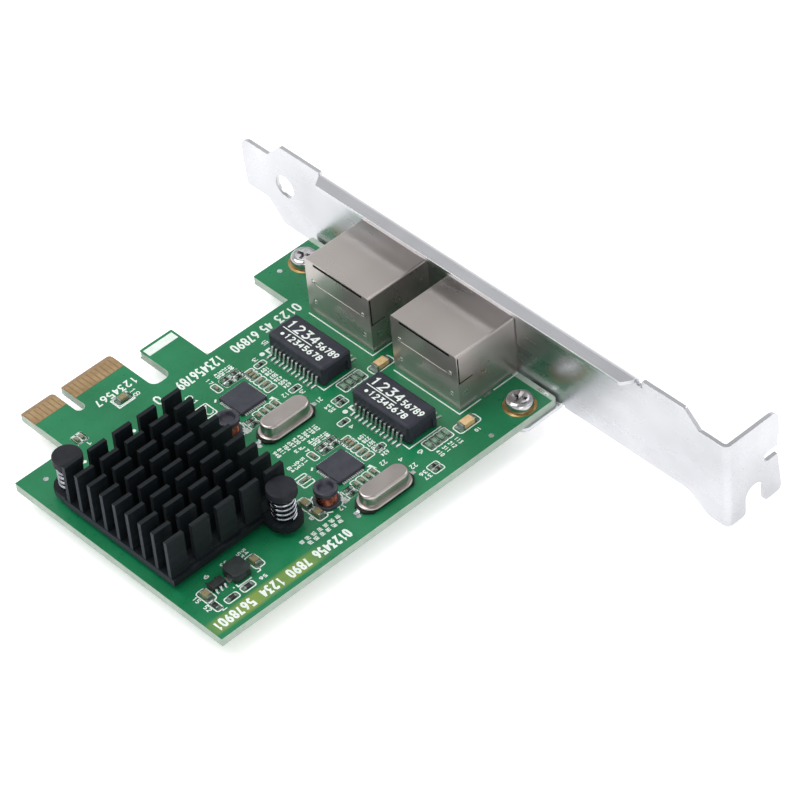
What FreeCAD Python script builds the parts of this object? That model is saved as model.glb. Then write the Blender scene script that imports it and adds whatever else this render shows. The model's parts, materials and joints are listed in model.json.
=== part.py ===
"""Dual-port network interface card with a full-height steel bracket.

Lengths are in millimetres. The origin is on the solder face of the board,
at the outer edge of the edge connector, on the centre line of its key notch.
+X runs from the slot towards the screw end of the bracket, +Y runs out of
the case through the bracket and +Z points away from the component side.
"""
import FreeCAD
import Part
import math
import os

V = FreeCAD.Vector

# Board
BOARD_THICKNESS = 1.57
BOARD_LEFT = 12.78
BOARD_RIGHT = 66.15
BOARD_REAR = -19.75
BOARD_GAP = 0.4
BOARD_CORNER = 0.5
FRONT_CORNER = 0.6
STEP_LEFT = 3.89
STEP_Y = 42.78
SHOULDER_LEFT = 13.11
HOOK_LEFT = 3.41
HOOK_REAR = 16.24
HOOK_FRONT = 23.83
HOOK_CORNER = 0.9
RELIEF_BOTTOM = 12.25
RELIEF_RADIUS = 1.5
INNER_CORNER = 0.7
TONGUE_REAR = -8.15
TONGUE_FRONT = 12.15
TONGUE_CORNER = 0.6
KEY_WIDTH = 1.9
KEY_DEPTH = 7.4
KEY_ROUND = 0.9
BEVEL_LENGTH = 1.1
BEVEL_DEPTH = 0.38

# Edge contacts
CONTACT_PITCH = 1.0
CONTACT_WIDTH = 0.74
CONTACT_START = 1.15
CONTACT_END = 4.3
CONTACT_FOIL = 0.05
SHORT_CONTACT_START = 1.9
FIRST_FRONT_CONTACT_Y = 1.5
FRONT_CONTACT_COUNT = 11
FIRST_REAR_CONTACT_Y = -1.5
REAR_CONTACT_COUNT = 7

# Bracket sheet
SHEET = 0.86
BRACKET_FACE = 57.6
BRACKET_WIDTH = 18.42
BRACKET_LOW = -0.17
BRACKET_LENGTH = 120.02
TONGUE_END = -14.15
LOWER_TONGUE_LOW = 4.0
LOWER_TONGUE_HIGH = 14.62
LOWER_TONGUE_TAPER = 0.5
LOWER_TONGUE_CORNER = 1.9
LOWER_TONGUE_LOW_CORNER = 0.7
SLOPE_LOW_START = -8.0
SLOPE_LOW_END = -4.1
SLOPE_HIGH_START = -6.9
SLOPE_HIGH_END = -3.3
SLOPE_ROUND = 1.0
VENT_HOLE_X = -2.9
VENT_HOLE_Z = 9.25
VENT_HOLE_RADIUS = 2.3

# Bracket upper end and screw tab
TAB_OFFSET = 3.18
BEND_RADIUS = 1.35
UPPER_SLOPE_DISTANCE = 9.47
UPPER_SLOPE_LENGTH = 3.3
BULGE_DISTANCE = 8.97
BULGE_LENGTH = 4.35
BULGE_ROUND = 3.0
SCREW_TAB_REACH = 12.7
SCREW_TAB_STEP_REACH = 12.25
SCREW_TAB_STEP_TOP = 9.5
SCREW_TAB_CORNER = 1.9
FINGER_REACH = 13.15
FINGER_CORNER = 1.1
SCREW_NOTCH_DISTANCE = 6.6
SCREW_NOTCH_WIDTH = 4.42
SCREW_NOTCH_TOP = 2.2
TAB_LOW_CORNER = 0.8
SIDE_SLOT_LOW = 5.35
SIDE_SLOT_HIGH = 7.35
SIDE_SLOT_DISTANCE = 8.9

# Bracket stiffening flange
FLANGE_START = 7.9
FLANGE_DISTANCE = 20.37
FLANGE_REACH = 2.65
FLANGE_CHAMFER = 1.3
FLANGE_CORNER = 0.8
FLANGE_RELIEF = 1.3
FLANGE_RELIEF_DEPTH = 1.5

# Bracket mounting ears below the board
EAR_WIDTH = 7.9
EAR_MARGIN = 3.1
EAR_CORNER = 1.6
EAR_RELIEF = 0.9

# Board screws
SCREW_RIGHT_X = 62.7
SCREW_LEFT_X = 7.9
SCREW_SETBACK = 5.9
SCREW_HEAD_RADIUS = 2.5
SCREW_HEAD_HEIGHT = 1.9
SCREW_HEAD_ROUND = 0.6
SCREW_SHANK_RADIUS = 1.25
SCREW_TIP = -2.2
SCREW_TIP_CHAMFER = 0.4
SCREW_CLEARANCE = 0.35
THREAD_CLEARANCE = 0.03
RECESS_LENGTH = 2.7
RECESS_WIDTH = 0.72
RECESS_DEPTH = 1.1
PAD_RADIUS = 3.05
PAD_FOIL = 0.05

# Heat sink
SINK_BASE_LEFT = 24.1
SINK_BASE_RIGHT = 52.4
SINK_BASE_REAR = -17.75
SINK_BASE_FRONT = 8.35
SINK_BASE_LOW = 2.72
SINK_BASE_HIGH = 4.05
SINK_TOP = 12.2
PLATE_COUNT = 9
PLATE_PITCH = 3.25
PLATE_THICKNESS = 0.8
PLATE_FIRST = 24.95
SEGMENT_COUNT = 5
SEGMENT_FIRST = -17.65
SEGMENT_PITCH = 5.5
SEGMENT_LENGTH = 3.8
CUT_BOTTOM = 4.3
PIN_RIGHT_X = 54.5
PIN_RIGHT_Y = 5.0
PIN_LEFT_X = 22.2
PIN_LEFT_Y = -14.4
EAR_RADIUS = 3.1
PIN_HEAD_LOW = 9.2
PIN_HEAD_RADIUS = 2.7
PIN_HEAD_HEIGHT = 1.6
PIN_HEAD_FACE = 2.45
PIN_HEAD_SIDE = 1.35
PIN_SHANK_RADIUS = 1.4
PIN_EAR_CLEARANCE = 0.2
PIN_BOARD_CLEARANCE = 0.12
PIN_BARB_RADIUS = 1.85
PIN_BARB_TOP = -0.05
PIN_BARB_TIP = -2.6
PIN_BARB_TIP_RADIUS = 0.9
PIN_SLIT = 0.5
PIN_SLIT_TOP = 0.9
SPRING_WIRE = 0.32
SPRING_RADIUS = 2.2
SPRING_TURNS = 5
SPRING_STEPS = 8
SPRING_SIDES = 4

# Chip below the heat sink
MAIN_CHIP_SIZE = 17.0
MAIN_CHIP_HEIGHT = 0.95
MAIN_CHIP_CHAMFER = 0.4
THERMAL_PAD_SIZE = 15.0

# Network controllers
CONTROLLER_SIZE = 5.9
CONTROLLER_HEIGHT = 0.85
CONTROLLER_BEVEL = 0.12
CONTROLLER_Y = 20.35
CONTROLLER_1_X = 26.5
CONTROLLER_SPACING = 24.8
TERMINAL_COUNT = 7
TERMINAL_PITCH = 0.65
TERMINAL_WIDTH = 0.24
TERMINAL_REACH = 0.22
TERMINAL_HEIGHT = 0.25

# Transformers
TRANSFORMER_1_X = 27.43
TRANSFORMER_SPACING = 21.45
TRANSFORMER_LENGTH = 14.25
TRANSFORMER_REAR = 31.95
TRANSFORMER_FRONT = 38.8
TRANSFORMER_LIFT = 0.2
TRANSFORMER_HEIGHT = 4.2
TRANSFORMER_BEVEL = 0.4
TRANSFORMER_NOTCH_DEPTH = 0.35
TRANSFORMER_NOTCH_WIDTH = 4.6
TRANSFORMER_NOTCH_HEIGHT = 2.2
LEAD_COUNT = 12
LEAD_PITCH = 1.04
LEAD_WIDTH = 0.42
LEAD_SHEET = 0.22
LEAD_SHOULDER_HEIGHT = 1.9
LEAD_SHOULDER_REACH = 0.4
LEAD_KNEE_REACH = 0.75
LEAD_FOOT_REACH = 1.65

# Crystals
CRYSTAL_OFFSET = 9.9
CRYSTAL_Y = 21.35
CAN_LENGTH = 10.2
CAN_WIDTH = 3.8
CAN_TOP = 3.2
CAN_ROUND = 0.45
FLANGE_PLATE_LENGTH = 11.3
FLANGE_PLATE_WIDTH = 4.9
FLANGE_PLATE_HEIGHT = 0.4
INSULATOR_LENGTH = 11.9
INSULATOR_WIDTH = 5.1
INSULATOR_HEIGHT = 0.55
INSULATOR_CHAMFER = 1.0
CRYSTAL_LEAD_WIDTH = 0.8
CRYSTAL_LEAD_SHEET = 0.15
CRYSTAL_LEAD_REACH = 1.0
CRYSTAL_LEAD_RISE = 0.5

# Jacks
JACK_1_LEFT = 18.04
JACK_2_LEFT = 39.87
JACK_WIDTH = 16.4
JACK_REAR = 43.75
JACK_STAND_OUT = 1.7
JACK_TOP = 13.97
SHIELD_SHEET = 0.3
JACK_CORNER = 0.45
JACK_OPENING_CLEARANCE = 0.2
REAR_SLOT_START = 2.2
REAR_SLOT_END = 14.7
REAR_SLOT_DROP = 0.55
REAR_SLOT_HEIGHT = 0.6
WING_TOP = 7.55
WING_REACH = 3.5
WING_SEAM = 0.3
WING_SEAM_DEPTH = 0.2
DIMPLE_RADIUS = 0.45
DIMPLE_DEPTH = 0.15
DIMPLE_X = 14.5
DIMPLE_HIGH = 9.4
DIMPLE_LOW = 4.7
SIDE_DIMPLE_Y = 45.5
SIDE_DIMPLE_Z = 4.9
SIDE_DIMPLE_SIZE = 1.0
REAR_BAND_LOW = 8.9
REAR_BAND_HIGH = 9.9
SHIELD_TAB_Y = 49.8
SHIELD_TAB_WIDTH = 1.7
SHIELD_TAB_LOW = -1.0
BOARD_SLOT_CLEARANCE = 0.15
PORT_HALF_WIDTH = 5.95
PORT_LOW = 3.5
PORT_HIGH = 10.3
PORT_BACK = 46.6
LATCH_HALF_WIDTH = 3.2
LATCH_HIGH = 12.3
PEG_X = 2.5
PEG_Y = 53.2
PEG_RADIUS = 1.55
PEG_CLEARANCE = 0.08
PEG_LOW = -0.5
LENS_WIDTH = 2.7
LENS_HEIGHT = 1.9
LENS_DEPTH = 2.2
LENS_SIDE = 1.0
LENS_LOW = 10.9
WIRE_COUNT = 8
WIRE_PITCH = 1.27
WIRE_WIDTH = 0.4
WIRE_SHEET = 0.3
WIRE_LEVEL = 2.75
WIRE_SETBACK = 2.0
WIRE_END_Y = 51.2
WIRE_END_Z = 6.0
TAIL_ROW_REAR = 47.4
TAIL_ROW_FRONT = 49.9
TAIL_LOW = -1.0
WIRE_CLEARANCE = 0.08
TAIL_HOLE_RADIUS = 0.42

# Solder on the underside
JOINT_RADIUS = 0.75
JOINT_TIP_RADIUS = 0.4
JOINT_HEIGHT = 0.6
SLOT_JOINT_LENGTH = 2.9
SLOT_JOINT_WIDTH = 1.5
SLOT_JOINT_HEIGHT = 0.5

# Chokes
CHOKE_OFFSET = 4.1
CHOKE_DROP = 6.9
CHOKE_RADIUS = 2.35
CHOKE_CAP_RADIUS = 2.15
CHOKE_HEIGHT = 3.6
CHOKE_FOOT = 0.6
CHOKE_CAP = 0.75
CHOKE_WAIST = 1.3
CHOKE_DIMPLE = 0.95
CHOKE_DIMPLE_DEPTH = 0.2
WINDING_RADIUS = 1.9
WINDING_LAYERS = 2

# Power section
INDUCTOR_X = 56.8
INDUCTOR_Y = -8.0
INDUCTOR_SIZE = 3.9
INDUCTOR_HEIGHT = 1.8
INDUCTOR_CORNER = 0.6
INDUCTOR_FOOT = 0.15
INDUCTOR_FOOT_WIDTH = 1.5
INDUCTOR_FOOT_REACH = 0.45
REGULATOR_X = 56.4
REGULATOR_Y = -12.2
REGULATOR_LENGTH = 2.9
REGULATOR_WIDTH = 1.6
REGULATOR_HEIGHT = 1.1
REGULATOR_LIFT = 0.1
REGULATOR_BEVEL = 0.15
REGULATOR_PITCH = 0.95
REGULATOR_LEAD_WIDTH = 0.4
REGULATOR_LEAD_SHEET = 0.15
REGULATOR_LEAD_HEIGHT = 0.55
REGULATOR_LEAD_SHOULDER = 0.25
REGULATOR_LEAD_KNEE = 0.45
REGULATOR_LEAD_FOOT = 0.9

# Small parts: length with ends, width, height, length of one end
LARGE_CHIP = (3.2, 1.6, 1.0, 0.45)
MEDIUM_CHIP = (2.0, 1.25, 0.8, 0.35)
SMALL_CHIP = (1.6, 0.8, 0.45, 0.3)
TINY_CHIP = (1.0, 0.55, 0.4, 0.22)
ACROSS = 90.0
ALONG = 0.0

LARGE_CAPACITORS = [(37.7, 42.5, ACROSS), (59.35, 42.35, ACROSS)]
MEDIUM_CAPACITORS = [
    (10.75, 6.35, ACROSS),
    (56.9, -14.95, ALONG),
    (56.9, -4.2, ALONG),
    (53.35, 10.45, ALONG),
    (56.45, 10.45, ALONG),
]
TINY_CAPACITORS = [(12.6, -5.6, ALONG), (12.6, -4.6, ALONG), (48.9, 14.3, ACROSS)]
SMALL_RESISTORS = [
    (60.35, -12.3, ACROSS),
    (60.35, -8.8, ACROSS),
    (59.7, -15.4, ALONG),
]
TINY_RESISTORS = [
    (38.55, 31.45, ACROSS),
    (39.7, 31.45, ACROSS),
    (62.5, 31.4, ACROSS),
    (63.65, 31.4, ACROSS),
]

# Small parts round each controller, from its centre
CONTROLLER_CAPACITORS = [
    (-5.6, -1.2, ALONG),
    (-4.4, 5.2, ACROSS),
    (-3.6, 5.2, ACROSS),
    (-2.8, 5.2, ACROSS),
    (-1.45, 5.2, ACROSS),
    (-0.1, 5.2, ACROSS),
    (1.25, 5.2, ACROSS),
    (4.9, -0.85, ALONG),
    (4.9, 0.5, ALONG),
    (4.9, 1.85, ALONG),
    (4.9, 3.2, ALONG),
]
CONTROLLER_RESISTORS = [
    (-6.1, 1.35, ACROSS),
    (-5.05, 1.35, ACROSS),
    (-6.1, 3.35, ACROSS),
    (-5.05, 3.35, ACROSS),
    (4.9, -2.65, ACROSS),
    (5.85, -2.65, ACROSS),
]

# Small parts near each transformer, from its centre and its leads
TRANSFORMER_RESISTORS = [-5.45, 3.6]
TRANSFORMER_RESISTOR_GAP = 1.95
NETWORK_COUNT = 4
NETWORK_PITCH = 1.35
NETWORK_OFFSET = 2.4
NETWORK_INSET = 2.35

# Values that follow from the sizes above
TOP = BOARD_THICKNESS
BRACKET_HIGH = BRACKET_LOW + BRACKET_WIDTH
BRACKET_OUTER = BRACKET_FACE + SHEET
BOARD_FRONT = BRACKET_FACE - BOARD_GAP
SCREW_Y = BRACKET_FACE - SCREW_SETBACK
JACK_FRONT = BRACKET_FACE + JACK_STAND_OUT
WIRE_FRONT = JACK_FRONT - WIRE_SETBACK
SCREW_TAB_EDGE = BRACKET_FACE + SCREW_TAB_REACH
SCREW_TAB_STEP = BRACKET_FACE + SCREW_TAB_STEP_REACH
FINGER_EDGE = BRACKET_FACE + FINGER_REACH
SCREW_NOTCH_Y = BRACKET_FACE + SCREW_NOTCH_DISTANCE
SIDE_SLOT_END = BRACKET_FACE + SIDE_SLOT_DISTANCE
TAB_FACE = TONGUE_END + BRACKET_LENGTH
TAB_LOW = BRACKET_LOW - TAB_OFFSET
TAB_HIGH = BRACKET_HIGH - TAB_OFFSET
UPPER_SLOPE_START = TAB_FACE - UPPER_SLOPE_DISTANCE
UPPER_SLOPE_END = UPPER_SLOPE_START + UPPER_SLOPE_LENGTH
BULGE_START = TAB_FACE - BULGE_DISTANCE
BULGE_END = BULGE_START + BULGE_LENGTH
FLANGE_END = TAB_FACE - FLANGE_DISTANCE
FLANGE_EDGE = BRACKET_FACE - FLANGE_REACH
EAR_REAR = SCREW_Y - EAR_MARGIN
JACK_LEFTS = [JACK_1_LEFT, JACK_2_LEFT]
SCREW_XS = [SCREW_LEFT_X, SCREW_RIGHT_X]
PINS = [(PIN_LEFT_X, PIN_LEFT_Y), (PIN_RIGHT_X, PIN_RIGHT_Y)]
CONTROLLER_XS = [CONTROLLER_1_X, CONTROLLER_1_X + CONTROLLER_SPACING]
TRANSFORMER_XS = [TRANSFORMER_1_X, TRANSFORMER_1_X + TRANSFORMER_SPACING]
CRYSTAL_XS = [x + CRYSTAL_OFFSET for x in CONTROLLER_XS]
CHOKES = [(x + CHOKE_OFFSET, CONTROLLER_Y - CHOKE_DROP) for x in CONTROLLER_XS]

# Sides of small round shapes
TINY_SIDES = 6
SMALL_SIDES = 8
HOLE_SIDES = 12
ROUND_SIDES = 16


# Shape helpers

def box(x0, y0, z0, x1, y1, z1):
    return Part.makeBox(x1 - x0, y1 - y0, z1 - z0, V(x0, y0, z0))


def rounded_wire(corners, place):
    """Closed wire through corners (a, b, radius), placed in space by place(a, b)."""
    edges = []
    ends = []
    count = len(corners)
    for i in range(count):
        a0, b0, _ = corners[i - 1]
        a1, b1, radius = corners[i]
        a2, b2, _ = corners[(i + 1) % count]
        if radius <= 0:
            ends.append(((a1, b1), None, (a1, b1)))
            continue
        back = math.hypot(a0 - a1, b0 - b1)
        ahead = math.hypot(a2 - a1, b2 - b1)
        ua, ub = (a0 - a1) / back, (b0 - b1) / back
        va, vb = (a2 - a1) / ahead, (b2 - b1) / ahead
        angle = math.acos(ua * va + ub * vb)
        reach = radius / math.tan(angle / 2)
        ma, mb = ua + va, ub + vb
        size = math.hypot(ma, mb)
        centre = radius / math.sin(angle / 2)
        ca, cb = a1 + ma / size * centre, b1 + mb / size * centre
        middle = (ca - ma / size * radius, cb - mb / size * radius)
        first = (a1 + ua * reach, b1 + ub * reach)
        last = (a1 + va * reach, b1 + vb * reach)
        ends.append((first, middle, last))
    for i in range(count):
        first, middle, last = ends[i]
        following = ends[(i + 1) % count][0]
        if middle is not None:
            edges.append(Part.Arc(place(*first), place(*middle), place(*last)).toShape())
        if math.hypot(last[0] - following[0], last[1] - following[1]) > 1e-6:
            edges.append(Part.LineSegment(place(*last), place(*following)).toShape())
    return Part.Wire(edges)


def plate(corners, z0, z1):
    """Outline in X and Y, extruded in Z."""
    wire = rounded_wire(corners, lambda a, b: V(a, b, z0))
    return Part.Face(wire).extrude(V(0, 0, z1 - z0))


def side_plate(corners, y0, y1):
    """Outline in X and Z, extruded in Y."""
    wire = rounded_wire(corners, lambda a, b: V(a, y0, b))
    return Part.Face(wire).extrude(V(0, y1 - y0, 0))


def end_plate(corners, x0, x1):
    """Outline in Y and Z, extruded in X."""
    wire = rounded_wire(corners, lambda a, b: V(x0, a, b))
    return Part.Face(wire).extrude(V(x1 - x0, 0, 0))


def sharp(points):
    return [(a, b, 0) for a, b in points]


def polygon(x, y, z, radius, sides):
    """Corners of a regular polygon whose flat sides lie at the given radius."""
    corner = radius / math.cos(math.pi / sides)
    points = []
    for i in range(sides):
        angle = 2 * math.pi * (i + 0.5) / sides
        points.append(V(x + corner * math.cos(angle), y + corner * math.sin(angle), z))
    return points


def prism(x, y, z0, z1, radius, sides):
    points = polygon(x, y, z0, radius, sides)
    face = Part.Face(Part.makePolygon(points + points[:1]))
    return face.extrude(V(0, 0, z1 - z0))


def closed_solid(faces):
    shell = Part.makeShell(faces)
    shell.sewShape()
    solid = Part.makeSolid(shell)
    if solid.Volume < 0:
        solid.reverse()
    return solid


def skin(rings, closed):
    """Solid from rings of equal point counts; its ends are capped unless it is closed on itself."""
    faces = []
    count = len(rings)
    spans = count if closed else count - 1
    sides = len(rings[0])
    for i in range(spans):
        near, far = rings[i], rings[(i + 1) % count]
        for k in range(sides):
            n = (k + 1) % sides
            faces.append(Part.Face(Part.makePolygon([near[k], near[n], far[n], far[k], near[k]])))
    if not closed:
        for ring in (rings[0], rings[-1]):
            faces.append(Part.Face(Part.makePolygon(ring + ring[:1])))
    return closed_solid(faces)


def triangle_skin(rings):
    """Capped solid from rings whose quads are twisted, so each is split in two."""
    faces = []
    sides = len(rings[0])
    for near, far in zip(rings, rings[1:]):
        for k in range(sides):
            n = (k + 1) % sides
            faces.append(Part.Face(Part.makePolygon([near[k], near[n], far[n], near[k]])))
            faces.append(Part.Face(Part.makePolygon([near[k], far[n], far[k], near[k]])))
    for ring in (rings[0], rings[-1]):
        faces.append(Part.Face(Part.makePolygon(ring + ring[:1])))
    return closed_solid(faces)


def turned(profile, x, y, sides, closed=False):
    """Small round shape from (radius, height) points, drawn with flat sides."""
    return skin([polygon(x, y, z, radius, sides) for radius, z in profile], closed)


def stadium(x, y, z, width, length):
    """Ring of points round a shape with half-round ends, long in Y."""
    radius = width / 2
    reach = length / 2 - radius
    half = ROUND_SIDES // 2
    points = []
    for side in (1, -1):
        for i in range(half + 1):
            angle = math.pi * i / half
            points.append(V(x + side * radius * math.cos(angle),
                            y + side * (reach + radius * math.sin(angle)), z))
    return points


def cut(shape, tools):
    if not tools:
        return shape
    return shape.cut(tools)


def join(shape, others):
    if not others:
        return shape
    return shape.fuse(others).removeSplitter()


def save(name, shapes):
    solids = []
    for shape in shapes:
        solids.extend(shape.Solids)
    result = solids[0]
    if len(solids) > 1:
        result = Part.makeCompound(solids)
    result.exportStep("parts/" + name + ".step")


# Board

def wire_tails(left):
    """Position of each solder tail of a jack."""
    centre = left + JACK_WIDTH / 2
    first = centre - WIRE_PITCH * (WIRE_COUNT - 1) / 2
    tails = []
    for i in range(WIRE_COUNT):
        row = TAIL_ROW_REAR if i % 2 == 0 else TAIL_ROW_FRONT
        tails.append((first + i * WIRE_PITCH, row))
    return tails


def shield_tab_faces(left):
    """Left face of each solder tab of a shield."""
    return [left, left + JACK_WIDTH - SHIELD_SHEET]


def board():
    key = KEY_WIDTH / 2
    corners = [
        (BOARD_LEFT, BOARD_REAR, BOARD_CORNER),
        (BOARD_RIGHT, BOARD_REAR, BOARD_CORNER),
        (BOARD_RIGHT, BOARD_FRONT, FRONT_CORNER),
        (STEP_LEFT, BOARD_FRONT, BOARD_CORNER),
        (STEP_LEFT, STEP_Y, BOARD_CORNER),
        (SHOULDER_LEFT, STEP_Y, INNER_CORNER),
        (SHOULDER_LEFT, HOOK_FRONT, INNER_CORNER),
        (HOOK_LEFT, HOOK_FRONT, BOARD_CORNER),
        (HOOK_LEFT, HOOK_REAR, HOOK_CORNER),
        (RELIEF_BOTTOM, HOOK_REAR, RELIEF_RADIUS),
        (RELIEF_BOTTOM, TONGUE_FRONT, RELIEF_RADIUS),
        (0, TONGUE_FRONT, TONGUE_CORNER),
        (0, key, TONGUE_CORNER),
        (KEY_DEPTH, key, KEY_ROUND),
        (KEY_DEPTH, -key, KEY_ROUND),
        (0, -key, TONGUE_CORNER),
        (0, TONGUE_REAR, TONGUE_CORNER),
        (BOARD_LEFT, TONGUE_REAR, INNER_CORNER),
    ]
    shape = plate(corners, 0, TOP)
    tools = []
    for level, depth in ((0, BEVEL_DEPTH), (TOP, TOP - BEVEL_DEPTH)):
        wedge = side_plate(sharp([(0, level), (BEVEL_LENGTH, level), (0, depth)]),
                           TONGUE_REAR - BEVEL_LENGTH, TONGUE_FRONT + BEVEL_LENGTH)
        tools.append(wedge)
    for x in SCREW_XS:
        tools.append(prism(x, SCREW_Y, 0, TOP, SCREW_SHANK_RADIUS + SCREW_CLEARANCE, HOLE_SIDES))
    for x, y in PINS:
        tools.append(prism(x, y, 0, TOP, PIN_SHANK_RADIUS + PIN_BOARD_CLEARANCE, SMALL_SIDES))
    for left in JACK_LEFTS:
        for x, y in wire_tails(left):
            tools.append(prism(x, y, 0, TOP, TAIL_HOLE_RADIUS, TINY_SIDES))
        for offset in (PEG_X, JACK_WIDTH - PEG_X):
            tools.append(prism(left + offset, PEG_Y, 0, TOP, PEG_RADIUS + PEG_CLEARANCE,
                               SMALL_SIDES))
        for x in shield_tab_faces(left):
            half = SHIELD_TAB_WIDTH / 2 + BOARD_SLOT_CLEARANCE
            tools.append(box(x - BOARD_SLOT_CLEARANCE, SHIELD_TAB_Y - half, 0,
                             x + SHIELD_SHEET + BOARD_SLOT_CLEARANCE, SHIELD_TAB_Y + half, TOP))
    return cut(shape, tools)


def edge_contacts():
    rows = []
    for i in range(FRONT_CONTACT_COUNT):
        rows.append(FIRST_FRONT_CONTACT_Y + i * CONTACT_PITCH)
    for i in range(REAR_CONTACT_COUNT):
        rows.append(FIRST_REAR_CONTACT_Y - i * CONTACT_PITCH)
    half = CONTACT_WIDTH / 2
    shapes = []
    for y in rows:
        shapes.append(box(CONTACT_START, y - half, TOP, CONTACT_END, y + half, TOP + CONTACT_FOIL))
        start = CONTACT_START
        if y == max(rows):
            start = SHORT_CONTACT_START
        shapes.append(box(start, y - half, -CONTACT_FOIL, CONTACT_END, y + half, 0))
    return shapes


def screw_pads():
    shapes = []
    for x in SCREW_XS:
        hole = SCREW_SHANK_RADIUS + SCREW_CLEARANCE
        high = TOP + PAD_FOIL
        profile = [(hole, TOP), (PAD_RADIUS, TOP), (PAD_RADIUS, high), (hole, high)]
        shapes.append(turned(profile, x, SCREW_Y, ROUND_SIDES, closed=True))
    return shapes


# Bracket

def bracket():
    face = [
        (TONGUE_END + LOWER_TONGUE_TAPER, LOWER_TONGUE_LOW, LOWER_TONGUE_LOW_CORNER),
        (SLOPE_LOW_START, LOWER_TONGUE_LOW, SLOPE_ROUND),
        (SLOPE_LOW_END, BRACKET_LOW, SLOPE_ROUND),
        (BULGE_START, BRACKET_LOW, BULGE_ROUND),
        (BULGE_END, TAB_LOW, BULGE_ROUND),
        (TAB_FACE - BEND_RADIUS, TAB_LOW, 0),
        (TAB_FACE - BEND_RADIUS, TAB_HIGH, 0),
        (UPPER_SLOPE_END, TAB_HIGH, 0),
        (UPPER_SLOPE_START, BRACKET_HIGH, SLOPE_ROUND / 2),
        (FLANGE_END + FLANGE_RELIEF, BRACKET_HIGH, 0),
        (FLANGE_END + FLANGE_RELIEF, BRACKET_HIGH - FLANGE_RELIEF_DEPTH, 0),
        (FLANGE_END, BRACKET_HIGH - FLANGE_RELIEF_DEPTH, 0),
        (FLANGE_START, BRACKET_HIGH - FLANGE_RELIEF_DEPTH, 0),
        (FLANGE_START - FLANGE_RELIEF / 2, BRACKET_HIGH - FLANGE_RELIEF_DEPTH, 0),
        (FLANGE_START - FLANGE_RELIEF / 2, BRACKET_HIGH, 0),
        (SLOPE_HIGH_END, BRACKET_HIGH, SLOPE_ROUND / 2),
        (SLOPE_HIGH_START, LOWER_TONGUE_HIGH, SLOPE_ROUND / 2),
        (TONGUE_END, LOWER_TONGUE_HIGH, LOWER_TONGUE_CORNER),
        (TONGUE_END, (LOWER_TONGUE_LOW + LOWER_TONGUE_HIGH) / 2, 0),
    ]
    shape = side_plate(face, BRACKET_FACE, BRACKET_OUTER)

    # Bend and screw tab at the upper end
    outer = BRACKET_FACE + BEND_RADIUS
    start = TAB_FACE - BEND_RADIUS
    inner_radius = BEND_RADIUS - SHEET
    ring = Part.makeCylinder(BEND_RADIUS, TAB_HIGH - TAB_LOW, V(start, outer, TAB_LOW), V(0, 0, 1))
    core = Part.makeCylinder(inner_radius, TAB_HIGH - TAB_LOW, V(start, outer, TAB_LOW), V(0, 0, 1))
    bend = ring.cut(core).common(box(start, BRACKET_FACE, TAB_LOW, TAB_FACE, outer, TAB_HIGH))
    notch = SCREW_NOTCH_WIDTH / 2
    slot = (SIDE_SLOT_HIGH - SIDE_SLOT_LOW) / 2
    tab_outline = [
        (outer, TAB_LOW, 0),
        (SCREW_NOTCH_Y - notch, TAB_LOW, TAB_LOW_CORNER),
        (SCREW_NOTCH_Y - notch, SCREW_NOTCH_TOP, notch),
        (SCREW_NOTCH_Y + notch, SCREW_NOTCH_TOP, notch),
        (SCREW_NOTCH_Y + notch, TAB_LOW, TAB_LOW_CORNER),
        (FINGER_EDGE, TAB_LOW, FINGER_CORNER),
        (SCREW_TAB_STEP, SIDE_SLOT_LOW, 0),
        (SIDE_SLOT_END, SIDE_SLOT_LOW, slot),
        (SIDE_SLOT_END, SIDE_SLOT_HIGH, slot),
        (SCREW_TAB_STEP, SIDE_SLOT_HIGH, 0),
        (SCREW_TAB_STEP, SCREW_TAB_STEP_TOP, 0),
        (SCREW_TAB_EDGE, SCREW_TAB_STEP_TOP, 0),
        (SCREW_TAB_EDGE, TAB_HIGH, SCREW_TAB_CORNER),
        (outer, TAB_HIGH, 0),
    ]
    tab = end_plate(tab_outline, TAB_FACE - SHEET, TAB_FACE)

    # Stiffening flange along the upper edge
    bend_y = BRACKET_OUTER - BEND_RADIUS
    bend_z = BRACKET_HIGH - BEND_RADIUS
    length = FLANGE_END - FLANGE_START
    roll = Part.makeCylinder(BEND_RADIUS, length, V(FLANGE_START, bend_y, bend_z), V(1, 0, 0))
    hollow = Part.makeCylinder(inner_radius, length, V(FLANGE_START, bend_y, bend_z), V(1, 0, 0))
    quarter = box(FLANGE_START, bend_y, bend_z, FLANGE_END, BRACKET_OUTER, BRACKET_HIGH)
    flange_bend = roll.cut(hollow).common(quarter)
    wall = box(FLANGE_START, BRACKET_FACE, BRACKET_HIGH - FLANGE_RELIEF_DEPTH,
               FLANGE_END, BRACKET_OUTER, bend_z)
    flange_outline = [
        (FLANGE_START, bend_y, 0),
        (FLANGE_START, BRACKET_FACE - FLANGE_REACH / 4, 0),
        (FLANGE_START + FLANGE_CHAMFER, FLANGE_EDGE, FLANGE_CORNER),
        (FLANGE_END - FLANGE_CHAMFER, FLANGE_EDGE, FLANGE_CORNER),
        (FLANGE_END, BRACKET_FACE - FLANGE_REACH / 4, 0),
        (FLANGE_END, bend_y, 0),
    ]
    flange = plate(flange_outline, BRACKET_HIGH - SHEET, BRACKET_HIGH)

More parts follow.
